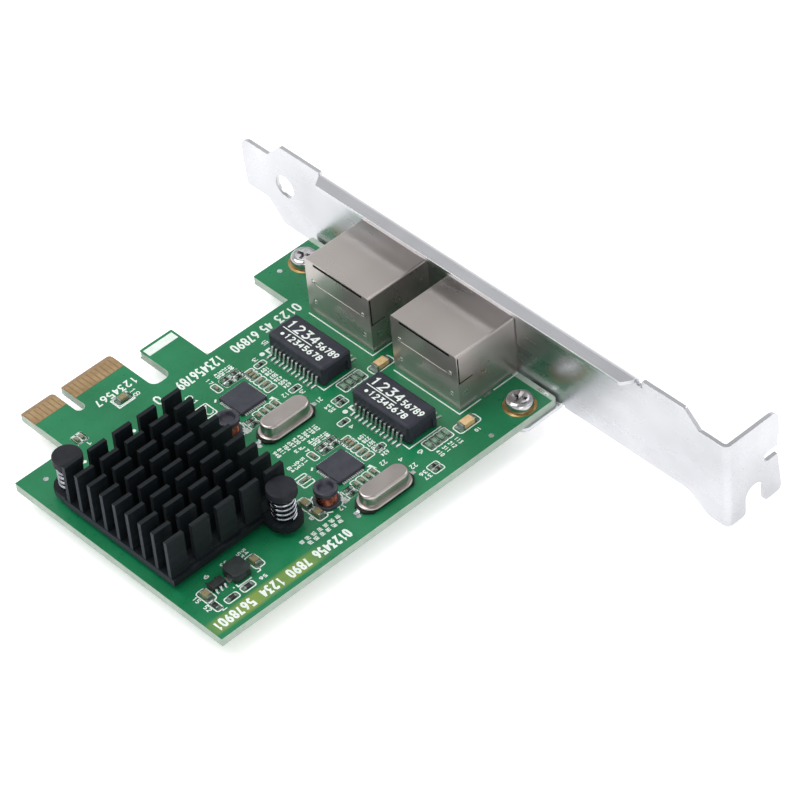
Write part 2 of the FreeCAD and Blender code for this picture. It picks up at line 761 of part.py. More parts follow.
    # Ears below the board and the edge bends that carry them
    ears = []
    for x in SCREW_XS:
        half = EAR_WIDTH / 2
        outline = [
            (x - half, BRACKET_OUTER, 0),
            (x - half, EAR_REAR, EAR_CORNER),
            (x + half, EAR_REAR, EAR_CORNER),
            (x + half, BRACKET_OUTER, 0),
        ]
        ear = plate(outline, -SHEET, 0)
        corner = [
            (BRACKET_OUTER, -SHEET, 0),
            (BRACKET_OUTER, -SHEET / 4, 0),
            (BRACKET_OUTER - SHEET * 3 / 4, -SHEET, 0),
        ]
        ear = ear.cut(end_plate(corner, x - half, x + half))
        hole = prism(x, SCREW_Y, -SHEET, 0, SCREW_SHANK_RADIUS + THREAD_CLEARANCE, HOLE_SIDES)
        ears.append(ear.cut(hole))

    shape = join(shape, [bend, tab, wall, flange_bend, flange] + ears)
    tools = []
    vent = Part.makeCylinder(VENT_HOLE_RADIUS, SHEET, V(VENT_HOLE_X, BRACKET_FACE, VENT_HOLE_Z),
                             V(0, 1, 0))
    tools.append(vent)
    gap = JACK_OPENING_CLEARANCE
    for left in JACK_LEFTS:
        tools.append(box(left - gap, BRACKET_FACE, TOP - gap,
                         left + JACK_WIDTH + gap, BRACKET_OUTER, JACK_TOP + gap))
    for x in SCREW_XS:
        half = EAR_WIDTH / 2
        for x0, x1 in ((x - half - EAR_RELIEF, x - half), (x + half, x + half + EAR_RELIEF)):
            tools.append(box(x0, BRACKET_FACE, BRACKET_LOW, x1, BRACKET_OUTER,
                             BRACKET_LOW + EAR_RELIEF / 2))
    return cut(shape, tools)


def bracket_screws():
    shapes = []
    for x in SCREW_XS:
        seat = TOP + PAD_FOIL
        top = seat + SCREW_HEAD_HEIGHT
        screw = turned([
            (SCREW_HEAD_RADIUS, seat),
            (SCREW_HEAD_RADIUS, top - SCREW_HEAD_ROUND),
            (SCREW_HEAD_RADIUS - SCREW_HEAD_ROUND, top),
        ], x, SCREW_Y, ROUND_SIDES)
        shank = turned([
            (SCREW_SHANK_RADIUS - SCREW_TIP_CHAMFER, SCREW_TIP),
            (SCREW_SHANK_RADIUS, SCREW_TIP + SCREW_TIP_CHAMFER),
            (SCREW_SHANK_RADIUS, seat),
        ], x, SCREW_Y, HOLE_SIDES)
        screw = join(screw, [shank])
        reach = RECESS_LENGTH / 2
        half = RECESS_WIDTH / 2
        floor = top - RECESS_DEPTH
        for angle in (0, 90):
            arm = end_plate(sharp([(-reach, top), (-half, floor), (half, floor), (reach, top)]),
                            -half, half)
            arm.rotate(V(0, 0, 0), V(0, 0, 1), angle)
            arm.translate(V(x, SCREW_Y, 0))
            screw = screw.cut(arm)
        shapes.append(screw)
    return shapes


# Heat sink

def heat_sink():
    base = box(SINK_BASE_LEFT, SINK_BASE_REAR, SINK_BASE_LOW,
               SINK_BASE_RIGHT, SINK_BASE_FRONT, SINK_BASE_HIGH)
    ears = []
    for x, y in PINS:
        ears.append(prism(x, y, SINK_BASE_LOW, SINK_BASE_HIGH, EAR_RADIUS, ROUND_SIDES))
        near = SINK_BASE_LEFT + EAR_RADIUS if x < SINK_BASE_LEFT else SINK_BASE_RIGHT - EAR_RADIUS
        x0, x1 = min(x, near), max(x, near)
        ears.append(box(x0, y - EAR_RADIUS, SINK_BASE_LOW, x1, y + EAR_RADIUS, SINK_BASE_HIGH))
    plates = []
    for i in range(PLATE_COUNT):
        x = PLATE_FIRST + i * PLATE_PITCH
        end = SEGMENT_FIRST + (SEGMENT_COUNT - 1) * SEGMENT_PITCH + SEGMENT_LENGTH
        plates.append(box(x, SEGMENT_FIRST, SINK_BASE_HIGH, x + PLATE_THICKNESS, end, SINK_TOP))
    shape = join(base, ears + plates)
    tools = []
    for i in range(SEGMENT_COUNT - 1):
        y = SEGMENT_FIRST + i * SEGMENT_PITCH + SEGMENT_LENGTH
        tools.append(box(SINK_BASE_LEFT, y, CUT_BOTTOM, SINK_BASE_RIGHT,
                         y + SEGMENT_PITCH - SEGMENT_LENGTH, SINK_TOP))
    for x, y in PINS:
        tools.append(prism(x, y, SINK_BASE_LOW, SINK_BASE_HIGH,
                           PIN_SHANK_RADIUS + PIN_EAR_CLEARANCE, SMALL_SIDES))
    return cut(shape, tools)


def push_pins():
    shapes = []
    for x, y in PINS:
        head_top = PIN_HEAD_LOW + PIN_HEAD_HEIGHT
        head = turned([
            (PIN_HEAD_RADIUS, PIN_HEAD_LOW),
            (PIN_HEAD_RADIUS, PIN_HEAD_LOW + PIN_HEAD_SIDE),
            (PIN_HEAD_FACE, head_top),
        ], x, y, SMALL_SIDES)
        shank = turned([
            (PIN_BARB_TIP_RADIUS, PIN_BARB_TIP),
            (PIN_BARB_RADIUS, PIN_BARB_TOP),
            (PIN_SHANK_RADIUS, PIN_BARB_TOP),
            (PIN_SHANK_RADIUS, PIN_HEAD_LOW),
        ], x, y, SMALL_SIDES)
        pin = join(head, [shank])
        reach = PIN_BARB_RADIUS
        slit = box(x - PIN_SLIT / 2, y - reach, PIN_BARB_TIP, x + PIN_SLIT / 2, y + reach, PIN_SLIT_TOP)
        shapes.append(pin.cut(slit))
    return shapes


def pin_springs():
    """Coil springs, built from rings of the wire's section along the helix."""
    shapes = []
    low = SINK_BASE_HIGH + SPRING_WIRE
    rise = PIN_HEAD_LOW - SINK_BASE_HIGH - 2 * SPRING_WIRE
    count = SPRING_TURNS * SPRING_STEPS
    for x, y in PINS:
        rings = []
        for i in range(count + 1):
            turn = 2 * math.pi * i / SPRING_STEPS
            height = low + rise * i / count
            ring = []
            for k in range(SPRING_SIDES):
                side = 2 * math.pi * k / SPRING_SIDES
                out = SPRING_RADIUS + SPRING_WIRE * math.cos(side)
                ring.append(V(x + out * math.cos(turn), y + out * math.sin(turn),
                              height + SPRING_WIRE * math.sin(side)))
            rings.append(ring)
        shapes.append(triangle_skin(rings))
    return shapes


def sink_centre():
    return (SINK_BASE_LEFT + SINK_BASE_RIGHT) / 2, (SINK_BASE_REAR + SINK_BASE_FRONT) / 2


def main_chip():
    x, y = sink_centre()
    half = MAIN_CHIP_SIZE / 2
    shape = box(x - half, y - half, TOP, x + half, y + half, TOP + MAIN_CHIP_HEIGHT)
    rim = [edge for edge in shape.Edges if edge.BoundBox.ZMin > TOP + MAIN_CHIP_HEIGHT / 2]
    return shape.makeChamfer(MAIN_CHIP_CHAMFER, rim)


def thermal_pad():
    x, y = sink_centre()
    half = THERMAL_PAD_SIZE / 2
    return box(x - half, y - half, TOP + MAIN_CHIP_HEIGHT, x + half, y + half, SINK_BASE_LOW)


# Chips

def controller(x):
    half = CONTROLLER_SIZE / 2
    shape = box(x - half, CONTROLLER_Y - half, TOP, x + half, CONTROLLER_Y + half,
                TOP + CONTROLLER_HEIGHT)
    rim = [edge for edge in shape.Edges if edge.BoundBox.ZMin > TOP + CONTROLLER_HEIGHT / 2]
    return shape.makeChamfer(CONTROLLER_BEVEL, rim)


def controller_terminals():
    shapes = []
    half = CONTROLLER_SIZE / 2
    for x in CONTROLLER_XS:
        for i in range(TERMINAL_COUNT):
            offset = (i - (TERMINAL_COUNT - 1) / 2) * TERMINAL_PITCH
            a0, a1 = offset - TERMINAL_WIDTH / 2, offset + TERMINAL_WIDTH / 2
            b0, b1 = half, half + TERMINAL_REACH
            high = TOP + TERMINAL_HEIGHT
            shapes.append(box(x + a0, CONTROLLER_Y + b0, TOP, x + a1, CONTROLLER_Y + b1, high))
            shapes.append(box(x + a0, CONTROLLER_Y - b1, TOP, x + a1, CONTROLLER_Y - b0, high))
            shapes.append(box(x + b0, CONTROLLER_Y + a0, TOP, x + b1, CONTROLLER_Y + a1, high))
            shapes.append(box(x - b1, CONTROLLER_Y + a0, TOP, x - b0, CONTROLLER_Y + a1, high))
    return shapes


def transformer(x):
    half = TRANSFORMER_LENGTH / 2
    low = TOP + TRANSFORMER_LIFT
    high = TOP + TRANSFORMER_HEIGHT
    shape = box(x - half, TRANSFORMER_REAR, low, x + half, TRANSFORMER_FRONT, high)
    rim = [edge for edge in shape.Edges if edge.BoundBox.ZMax > (low + high) / 2]
    shape = shape.makeChamfer(TRANSFORMER_BEVEL, rim)
    centre = (TRANSFORMER_REAR + TRANSFORMER_FRONT) / 2
    y0, y1 = centre - TRANSFORMER_NOTCH_WIDTH / 2, centre + TRANSFORMER_NOTCH_WIDTH / 2
    z1 = low + TRANSFORMER_NOTCH_HEIGHT
    deep = TRANSFORMER_NOTCH_DEPTH
    # Feet that stand on the board below the body
    feet = []
    for fx in (x - half / 2, x + half / 2):
        feet.append(box(fx - deep, centre - deep, TOP, fx + deep, centre + deep, low))
    shape = join(shape, feet)
    return cut(shape, [
        box(x + half - deep, y0, low, x + half, y1, z1),
        box(x - half, y0, low, x - half + deep, y1, z1),
    ])


def gull_lead(x, y, side, width, sheet, height, shoulder, knee, foot):
    """Lead from a body side at y; side is +1 towards +Y and -1 towards -Y."""
    high = TOP + height
    points = [
        (0, high),
        (shoulder, high),
        (knee, TOP + sheet),
        (foot, TOP + sheet),
        (foot, TOP),
        (knee - sheet / 2, TOP),
        (shoulder - sheet / 2, high - sheet),
        (0, high - sheet),
    ]
    placed = sharp([(y + side * a, b) for a, b in points])
    return end_plate(placed, x - width / 2, x + width / 2)


def transformer_leads():
    shapes = []
    for x in TRANSFORMER_XS:
        for i in range(LEAD_COUNT):
            lead_x = x + (i - (LEAD_COUNT - 1) / 2) * LEAD_PITCH
            for y, side in ((TRANSFORMER_REAR, -1), (TRANSFORMER_FRONT, 1)):
                shapes.append(gull_lead(lead_x, y, side, LEAD_WIDTH, LEAD_SHEET,
                                        LEAD_SHOULDER_HEIGHT, LEAD_SHOULDER_REACH,
                                        LEAD_KNEE_REACH, LEAD_FOOT_REACH))
    return shapes


# Crystals

def crystal_cans():
    shapes = []
    low = TOP + INSULATOR_HEIGHT + FLANGE_PLATE_HEIGHT
    high = TOP + CAN_TOP
    for x in CRYSTAL_XS:
        shapes.append(skin([
            stadium(x, CRYSTAL_Y, low, CAN_WIDTH, CAN_LENGTH),
            stadium(x, CRYSTAL_Y, high - CAN_ROUND, CAN_WIDTH, CAN_LENGTH),
            stadium(x, CRYSTAL_Y, high, CAN_WIDTH - 2 * CAN_ROUND, CAN_LENGTH - 2 * CAN_ROUND),
        ], False))
    return shapes


def crystal_bases():
    shapes = []
    low = TOP + INSULATOR_HEIGHT
    for x in CRYSTAL_XS:
        shapes.append(skin([
            stadium(x, CRYSTAL_Y, low, FLANGE_PLATE_WIDTH, FLANGE_PLATE_LENGTH),
            stadium(x, CRYSTAL_Y, low + FLANGE_PLATE_HEIGHT, FLANGE_PLATE_WIDTH,
                    FLANGE_PLATE_LENGTH),
        ], False))
    return shapes


def crystal_insulators():
    shapes = []
    half_x, half_y = INSULATOR_WIDTH / 2, INSULATOR_LENGTH / 2
    c = INSULATOR_CHAMFER
    for x in CRYSTAL_XS:
        points = [
            (x - half_x + c, CRYSTAL_Y - half_y), (x + half_x - c, CRYSTAL_Y - half_y),
            (x + half_x, CRYSTAL_Y - half_y + c), (x + half_x, CRYSTAL_Y + half_y - c),
            (x + half_x - c, CRYSTAL_Y + half_y), (x - half_x + c, CRYSTAL_Y + half_y),
            (x - half_x, CRYSTAL_Y + half_y - c), (x - half_x, CRYSTAL_Y - half_y + c),
        ]
        shapes.append(plate(sharp(points), TOP, TOP + INSULATOR_HEIGHT))
    return shapes


def crystal_leads():
    shapes = []
    half = CRYSTAL_LEAD_WIDTH / 2
    reach = INSULATOR_LENGTH / 2
    for x in CRYSTAL_XS:
        for side in (-1, 1):
            inner = CRYSTAL_Y + side * reach
            points = [
                (inner, TOP), (inner + side * CRYSTAL_LEAD_REACH, TOP),
                (inner + side * CRYSTAL_LEAD_REACH, TOP + CRYSTAL_LEAD_SHEET),
                (inner + side * CRYSTAL_LEAD_SHEET, TOP + CRYSTAL_LEAD_SHEET),
                (inner + side * CRYSTAL_LEAD_SHEET, TOP + CRYSTAL_LEAD_RISE),
                (inner, TOP + CRYSTAL_LEAD_RISE),
            ]
            shapes.append(end_plate(sharp(points), x - half, x + half))
    return shapes


# Jacks

def jack_shield(left):
    right = left + JACK_WIDTH
    outline = [
        (left, TOP, 0), (right, TOP, 0),
        (right, JACK_TOP, JACK_CORNER), (left, JACK_TOP, JACK_CORNER),
    ]
    shape = side_plate(outline, JACK_REAR, JACK_FRONT)
    sheet = SHIELD_SHEET
    tools = [box(left + sheet, JACK_REAR + sheet, TOP, right - sheet, JACK_FRONT, JACK_TOP - sheet)]

    # Slot below the rear top edge
    z1 = JACK_TOP - REAR_SLOT_DROP + REAR_SLOT_HEIGHT / 2
    tools.append(box(left + REAR_SLOT_START, JACK_REAR, z1 - REAR_SLOT_HEIGHT,
                     left + REAR_SLOT_END, JACK_REAR + sheet, z1))

    # Seam of the folded wing on both sides
    deep = WING_SEAM_DEPTH
    for x0, x1 in ((left, left + deep), (right - deep, right)):
        tools.append(box(x0, JACK_REAR + deep, WING_TOP, x1, JACK_REAR + deep + WING_SEAM,
                         JACK_TOP - JACK_CORNER))
        tools.append(box(x0, JACK_REAR + deep, WING_TOP, x1, JACK_REAR + WING_REACH,
                         WING_TOP + WING_SEAM))

    # Pressed dimples
    for z in (DIMPLE_HIGH, DIMPLE_LOW):
        for offset in (JACK_WIDTH - DIMPLE_X, DIMPLE_X):
            tools.append(box(left + offset - DIMPLE_RADIUS, JACK_REAR, z - DIMPLE_RADIUS,
                             left + offset + DIMPLE_RADIUS, JACK_REAR + DIMPLE_DEPTH,
                             z + DIMPLE_RADIUS))
    half = SIDE_DIMPLE_SIZE / 2
    for x0, x1 in ((left, left + DIMPLE_DEPTH), (right - DIMPLE_DEPTH, right)):
        tools.append(box(x0, SIDE_DIMPLE_Y - half, SIDE_DIMPLE_Z - half,
                         x1, SIDE_DIMPLE_Y + half, SIDE_DIMPLE_Z + half))
    tools.append(box(left + REAR_SLOT_START, JACK_REAR, REAR_BAND_LOW,
                     right - REAR_SLOT_START - DIMPLE_RADIUS, JACK_REAR + DIMPLE_DEPTH / 2,
                     REAR_BAND_HIGH))
    shape = cut(shape, tools)

    # Solder tabs through the board
    tabs = []
    for x in shield_tab_faces(left):
        tabs.append(box(x, SHIELD_TAB_Y - SHIELD_TAB_WIDTH / 2, SHIELD_TAB_LOW,
                        x + sheet, SHIELD_TAB_Y + SHIELD_TAB_WIDTH / 2, TOP))
    return join(shape, tabs)


def lens_boxes(left):
    right = left + JACK_WIDTH
    boxes = []
    for x0 in (left + LENS_SIDE, right - LENS_SIDE - LENS_WIDTH):
        boxes.append(box(x0, JACK_FRONT - LENS_DEPTH, LENS_LOW,
                         x0 + LENS_WIDTH, JACK_FRONT, LENS_LOW + LENS_HEIGHT))
    return boxes


def jack_housing(left):
    sheet = SHIELD_SHEET
    right = left + JACK_WIDTH
    centre = (left + right) / 2
    shape = box(left + sheet, JACK_REAR + sheet, TOP, right - sheet, JACK_FRONT, JACK_TOP - sheet)
    tools = [
        box(centre - PORT_HALF_WIDTH, PORT_BACK, PORT_LOW,
            centre + PORT_HALF_WIDTH, JACK_FRONT, PORT_HIGH),
        box(centre - LATCH_HALF_WIDTH, PORT_BACK, PORT_HIGH,
            centre + LATCH_HALF_WIDTH, JACK_FRONT, LATCH_HIGH),
    ]
    half = WIRE_WIDTH / 2 + WIRE_CLEARANCE
    for x, y in wire_tails(left):
        back = y - WIRE_SHEET / 2 - WIRE_CLEARANCE
        tools.append(box(x - half, back, WIRE_LEVEL, x + half, WIRE_FRONT + WIRE_CLEARANCE, PORT_LOW))
        tools.append(box(x - half, back, TOP, x + half,
                         y + WIRE_SHEET / 2 + WIRE_CLEARANCE, WIRE_LEVEL))
    tools.extend(lens_boxes(left))
    shape = cut(shape, tools)
    pegs = [prism(left + offset, PEG_Y, PEG_LOW, TOP, PEG_RADIUS, SMALL_SIDES)
            for offset in (PEG_X, JACK_WIDTH - PEG_X)]
    return join(shape, pegs)


def jack_wires():
    """Sprung contact wires: tail through the board, floor run and folded tip."""
    shapes = []
    half = WIRE_SHEET / 2
    level = WIRE_LEVEL
    for left in JACK_LEFTS:
        for x, y in wire_tails(left):
            points = [
                (y - half, TAIL_LOW), (y + half, TAIL_LOW),
                (y + half, level), (WIRE_FRONT, level),
                (WIRE_FRONT, level + WIRE_SHEET),
                (WIRE_END_Y, WIRE_END_Z), (WIRE_END_Y, WIRE_END_Z - WIRE_SHEET),
                (WIRE_FRONT - 3 * WIRE_SHEET, level + WIRE_SHEET),
                (y - half, level + WIRE_SHEET),
            ]
            shapes.append(end_plate(sharp(points), x - WIRE_WIDTH / 2, x + WIRE_WIDTH / 2))
    return shapes


def solder_joints():
    shapes = []
    half = WIRE_SHEET / 2
    wide = WIRE_WIDTH / 2
    for left in JACK_LEFTS:
        for x, y in wire_tails(left):
            cone = turned([(JOINT_TIP_RADIUS, -JOINT_HEIGHT), (JOINT_RADIUS, 0)], x, y, TINY_SIDES)
            shapes.append(cone.cut(box(x - wide, y - half, -JOINT_HEIGHT, x + wide, y + half, 0)))
        for x in shield_tab_faces(left):
            middle = x + SHIELD_SHEET / 2
            pad = box(middle - SLOT_JOINT_WIDTH / 2, SHIELD_TAB_Y - SLOT_JOINT_LENGTH / 2,
                      -SLOT_JOINT_HEIGHT, middle + SLOT_JOINT_WIDTH / 2,
                      SHIELD_TAB_Y + SLOT_JOINT_LENGTH / 2, 0)
            rim = [edge for edge in pad.Edges if edge.BoundBox.ZMax < -SLOT_JOINT_HEIGHT / 2]
            pad = pad.makeChamfer(SLOT_JOINT_HEIGHT * 0.8, rim)
            tab = box(x, SHIELD_TAB_Y - SHIELD_TAB_WIDTH / 2, -SLOT_JOINT_HEIGHT,
                      x + SHIELD_SHEET, SHIELD_TAB_Y + SHIELD_TAB_WIDTH / 2, 0)
            shapes.append(pad.cut(tab))
    return shapes


# Chokes and power parts

def choke_cores():
    shapes = []
    top = TOP + CHOKE_HEIGHT
    for x, y in CHOKES:
        shapes.append(turned([
            (CHOKE_RADIUS, TOP),
            (CHOKE_RADIUS, TOP + CHOKE_FOOT),
            (CHOKE_WAIST, TOP + CHOKE_FOOT),
            (CHOKE_WAIST, top - CHOKE_CAP),
            (CHOKE_CAP_RADIUS, top - CHOKE_CAP),
            (CHOKE_CAP_RADIUS, top - CHOKE_DIMPLE_DEPTH),
            (CHOKE_CAP_RADIUS - CHOKE_DIMPLE_DEPTH, top),
            (CHOKE_DIMPLE, top),
            (CHOKE_DIMPLE - CHOKE_DIMPLE_DEPTH, top - CHOKE_DIMPLE_DEPTH),
        ], x, y, HOLE_SIDES))
    return shapes


def choke_windings():
    shapes = []
    low = TOP + CHOKE_FOOT
    high = TOP + CHOKE_HEIGHT - CHOKE_CAP
    layer = (high - low) / WINDING_LAYERS
    for x, y in CHOKES:
        profile = [(CHOKE_WAIST, low)]
        for i in range(WINDING_LAYERS):
            z = low + i * layer
            profile.append((WINDING_RADIUS - layer / 3, z))
            profile.append((WINDING_RADIUS, z + layer / 2))
        profile.append((WINDING_RADIUS - layer / 3, high))
        profile.append((CHOKE_WAIST, high))
        shapes.append(turned(profile, x, y, HOLE_SIDES, closed=True))
    return shapes


def power_inductor():
    half = INDUCTOR_SIZE / 2
    c = INDUCTOR_CORNER
    x, y = INDUCTOR_X, INDUCTOR_Y
    points = [
        (x - half + c, y - half), (x + half - c, y - half),
        (x + half, y - half + c), (x + half, y + half - c),
        (x + half - c, y + half), (x - half + c, y + half),
        (x - half, y + half - c), (x - half, y - half + c),
    ]
    return plate(sharp(points), TOP + INDUCTOR_FOOT, TOP + INDUCTOR_HEIGHT)


def inductor_feet():
    half = INDUCTOR_SIZE / 2
    wide = INDUCTOR_FOOT_WIDTH / 2
    shapes = []
    for side in (-1, 1):
        y0 = INDUCTOR_Y + side * (half + INDUCTOR_FOOT_REACH)
        y1 = INDUCTOR_Y + side * half / 2
        shapes.append(box(INDUCTOR_X - wide, min(y0, y1), TOP,
                          INDUCTOR_X + wide, max(y0, y1), TOP + INDUCTOR_FOOT))
    return shapes


def regulator():
    """Small regulator with leads towards -X and +X."""
    half_x, half_y = REGULATOR_WIDTH / 2, REGULATOR_LENGTH / 2
    low = TOP + REGULATOR_LIFT
    high = TOP + REGULATOR_HEIGHT
    shape = box(REGULATOR_X - half_x, REGULATOR_Y - half_y, low,
                REGULATOR_X + half_x, REGULATOR_Y + half_y, high)
    rim = [edge for edge in shape.Edges if edge.BoundBox.ZMin > (low + high) / 2]
    shape = shape.makeChamfer(REGULATOR_BEVEL, rim)
    foot = box(REGULATOR_X - half_x / 4, REGULATOR_Y - half_y / 4, TOP,
               REGULATOR_X + half_x / 4, REGULATOR_Y + half_y / 4, low)
    return join(shape, [foot])


def regulator_leads():
    shapes = []
    places = [(1, -1), (1, 0), (1, 1), (-1, -1), (-1, 1)]
    for side, row in places:
        lead = gull_lead(0, REGULATOR_WIDTH / 2, 1, REGULATOR_LEAD_WIDTH, REGULATOR_LEAD_SHEET,
                         REGULATOR_LEAD_HEIGHT, REGULATOR_LEAD_SHOULDER, REGULATOR_LEAD_KNEE,
                         REGULATOR_LEAD_FOOT)
        lead.rotate(V(0, 0, 0), V(0, 0, 1), -90 * side)
        lead.translate(V(REGULATOR_X, REGULATOR_Y + row * REGULATOR_PITCH, 0))
        shapes.append(lead)
    return shapes


# Small parts

def small_part(place, size):
    """Body and two ends of a small part; place is x, y and the turn in degrees."""
    x, y, angle = place
    length, width, height, end = size
    body = box(-length / 2 + end, -width / 2, 0, length / 2 - end, width / 2, height)
    ends = [
        box(-length / 2, -width / 2, 0, -length / 2 + end, width / 2, height),
        box(length / 2 - end, -width / 2, 0, length / 2, width / 2, height),
    ]
    for shape in [body] + ends:
        shape.rotate(V(0, 0, 0), V(0, 0, 1), angle)
        shape.translate(V(x, y, TOP))
    return body, ends


def small_parts(groups):
    bodies = []
    caps = []
    for places, size in groups:
        for place in places:
            body, ends = small_part(place, size)
            bodies.append(body)
            caps.extend(ends)
    return bodies, caps


def network_places():
    """Row of parts beside the end of each transformer."""
    places = []
    for x in TRANSFORMER_XS:
        row = x + TRANSFORMER_LENGTH / 2 + NETWORK_OFFSET
        for i in range(NETWORK_COUNT):
            places.append((row, TRANSFORMER_REAR + NETWORK_INSET + i * NETWORK_PITCH, ALONG))
    return places


def controller_places(offsets):
    return [(x + a, CONTROLLER_Y + b, turn) for x in CONTROLLER_XS for a, b, turn in offsets]


def transformer_places():
    y = TRANSFORMER_REAR - LEAD_FOOT_REACH - TRANSFORMER_RESISTOR_GAP
    return [(x + a, y, ACROSS) for x in TRANSFORMER_XS for a in TRANSFORMER_RESISTORS]


def build():
    os.makedirs("parts", exist_ok=True)
    save("circuit_board", [board()])
    save("edge_contacts", edge_contacts())
    save("screw_pads", screw_pads())
    save("bracket", [bracket()])
    save("bracket_screws", bracket_screws())
    save("heat_sink", [heat_sink()])
    save("push_pins", push_pins())
    save("pin_springs", pin_springs())
    save("main_chip", [main_chip()])
    save("thermal_pad", [thermal_pad()])
    save("controller_1", [controller(CONTROLLER_XS[0])])
    save("controller_2", [controller(CONTROLLER_XS[1])])
    save("controller_terminals", controller_terminals())
    save("transformer_1", [transformer(TRANSFORMER_XS[0])])
    save("transformer_2", [transformer(TRANSFORMER_XS[1])])
    save("transformer_leads", transformer_leads())
    save("crystal_cans", crystal_cans())
    save("crystal_bases", crystal_bases())
    save("crystal_insulators", crystal_insulators())
    save("crystal_leads", crystal_leads())
    save("jack_1_shield", [jack_shield(JACK_1_LEFT)])
    save("jack_2_shield", [jack_shield(JACK_2_LEFT)])
    save("jack_1_housing", [jack_housing(JACK_1_LEFT)])
    save("jack_2_housing", [jack_housing(JACK_2_LEFT)])
    save("jack_wires", jack_wires())
    save("jack_lenses", lens_boxes(JACK_1_LEFT) + lens_boxes(JACK_2_LEFT))
    save("solder_joints", solder_joints())
    save("choke_cores", choke_cores())
    save("choke_windings", choke_windings())
    save("power_inductor", [power_inductor()])
    save("inductor_feet", inductor_feet())
    save("regulator", [regulator()])
    save("regulator_leads", regulator_leads())

    bodies, ends = small_parts([(LARGE_CAPACITORS, LARGE_CHIP)])
    save("large_capacitors", bodies)
    save("large_capacitor_ends", ends)
    tiny = TINY_CAPACITORS + controller_places(CONTROLLER_CAPACITORS)
    bodies, ends = small_parts([(MEDIUM_CAPACITORS, MEDIUM_CHIP), (tiny, TINY_CHIP)])
    save("small_capacitors", bodies)
    save("small_capacitor_ends", ends)
    tiny = TINY_RESISTORS + controller_places(CONTROLLER_RESISTORS) + transformer_places()
    bodies, ends = small_parts([(SMALL_RESISTORS, SMALL_CHIP), (tiny, TINY_CHIP)])
    save("resistors", bodies)
    save("resistor_ends", ends)
    bodies, ends = small_parts([(network_places(), SMALL_CHIP)])
    save("port_resistors", bodies)
    save("port_resistor_ends", ends)


build()
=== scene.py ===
"""Looks of the dual-port network interface card: materials, board details, light and camera."""

import json
import math
import random

import bmesh
import bpy
from mathutils import Matrix, Vector

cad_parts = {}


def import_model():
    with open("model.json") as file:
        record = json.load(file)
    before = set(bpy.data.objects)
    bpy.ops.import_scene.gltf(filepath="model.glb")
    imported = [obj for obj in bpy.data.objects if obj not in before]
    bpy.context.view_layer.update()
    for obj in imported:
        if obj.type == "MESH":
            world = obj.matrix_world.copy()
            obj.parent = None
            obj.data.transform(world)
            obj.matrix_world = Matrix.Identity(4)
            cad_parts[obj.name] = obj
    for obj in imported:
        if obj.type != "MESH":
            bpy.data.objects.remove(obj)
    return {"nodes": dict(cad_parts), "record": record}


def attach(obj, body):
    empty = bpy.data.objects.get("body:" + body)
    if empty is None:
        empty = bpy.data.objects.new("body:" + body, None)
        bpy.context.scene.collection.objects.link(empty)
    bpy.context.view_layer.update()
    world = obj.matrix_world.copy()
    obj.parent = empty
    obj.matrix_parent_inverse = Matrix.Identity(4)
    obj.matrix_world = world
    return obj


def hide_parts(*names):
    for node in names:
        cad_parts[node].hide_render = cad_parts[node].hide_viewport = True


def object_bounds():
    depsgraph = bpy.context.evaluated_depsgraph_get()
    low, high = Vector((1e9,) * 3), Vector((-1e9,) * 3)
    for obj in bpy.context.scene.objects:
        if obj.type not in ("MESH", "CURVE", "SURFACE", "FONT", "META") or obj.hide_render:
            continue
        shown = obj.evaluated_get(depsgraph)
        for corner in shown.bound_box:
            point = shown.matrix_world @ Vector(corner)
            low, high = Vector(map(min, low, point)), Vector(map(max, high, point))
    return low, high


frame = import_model()
NODES = frame["nodes"]
CAD_BOX = [list(corner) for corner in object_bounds()]
random.seed(7)

MM = 0.001

# Places on the card, in millimetres, in the frame of the solids
TOP = 1.57
MASK = 0.03
MASK_TOP = TOP + MASK
INK = 0.03
INK_TOP = MASK_TOP + INK
PAD_TOP = MASK_TOP + 0.04
CONTROLLER_Y = 20.35
CONTROLLER_XS = [26.5, 51.3]
TRANSFORMER_XS = [27.43, 48.88]
CRYSTAL_XS = [36.4, 61.2]
CRYSTAL_Y = 21.35
CHOKES = [(x + 4.1, CONTROLLER_Y - 6.9) for x in CONTROLLER_XS]
JACK_LEFTS = [18.04, 39.87]
JACK_WIDTH, JACK_REAR, JACK_TOP = 16.4, 43.75, 13.97
PINS = [(22.2, -14.4), (54.5, 5.0)]
SCREWS = [(7.9, 51.7), (62.7, 51.7)]

# Node materials

WHITE = (1.0, 1.0, 1.0, 1.0)
MATERIALS = {}


def colour(red, green, blue):
    """Linear colour from display values between 0 and 255."""
    def linear(value):
        value /= 255.0
        return value / 12.92 if value <= 0.04045 else ((value + 0.055) / 1.055) ** 2.4
    return (linear(red), linear(green), linear(blue), 1.0)


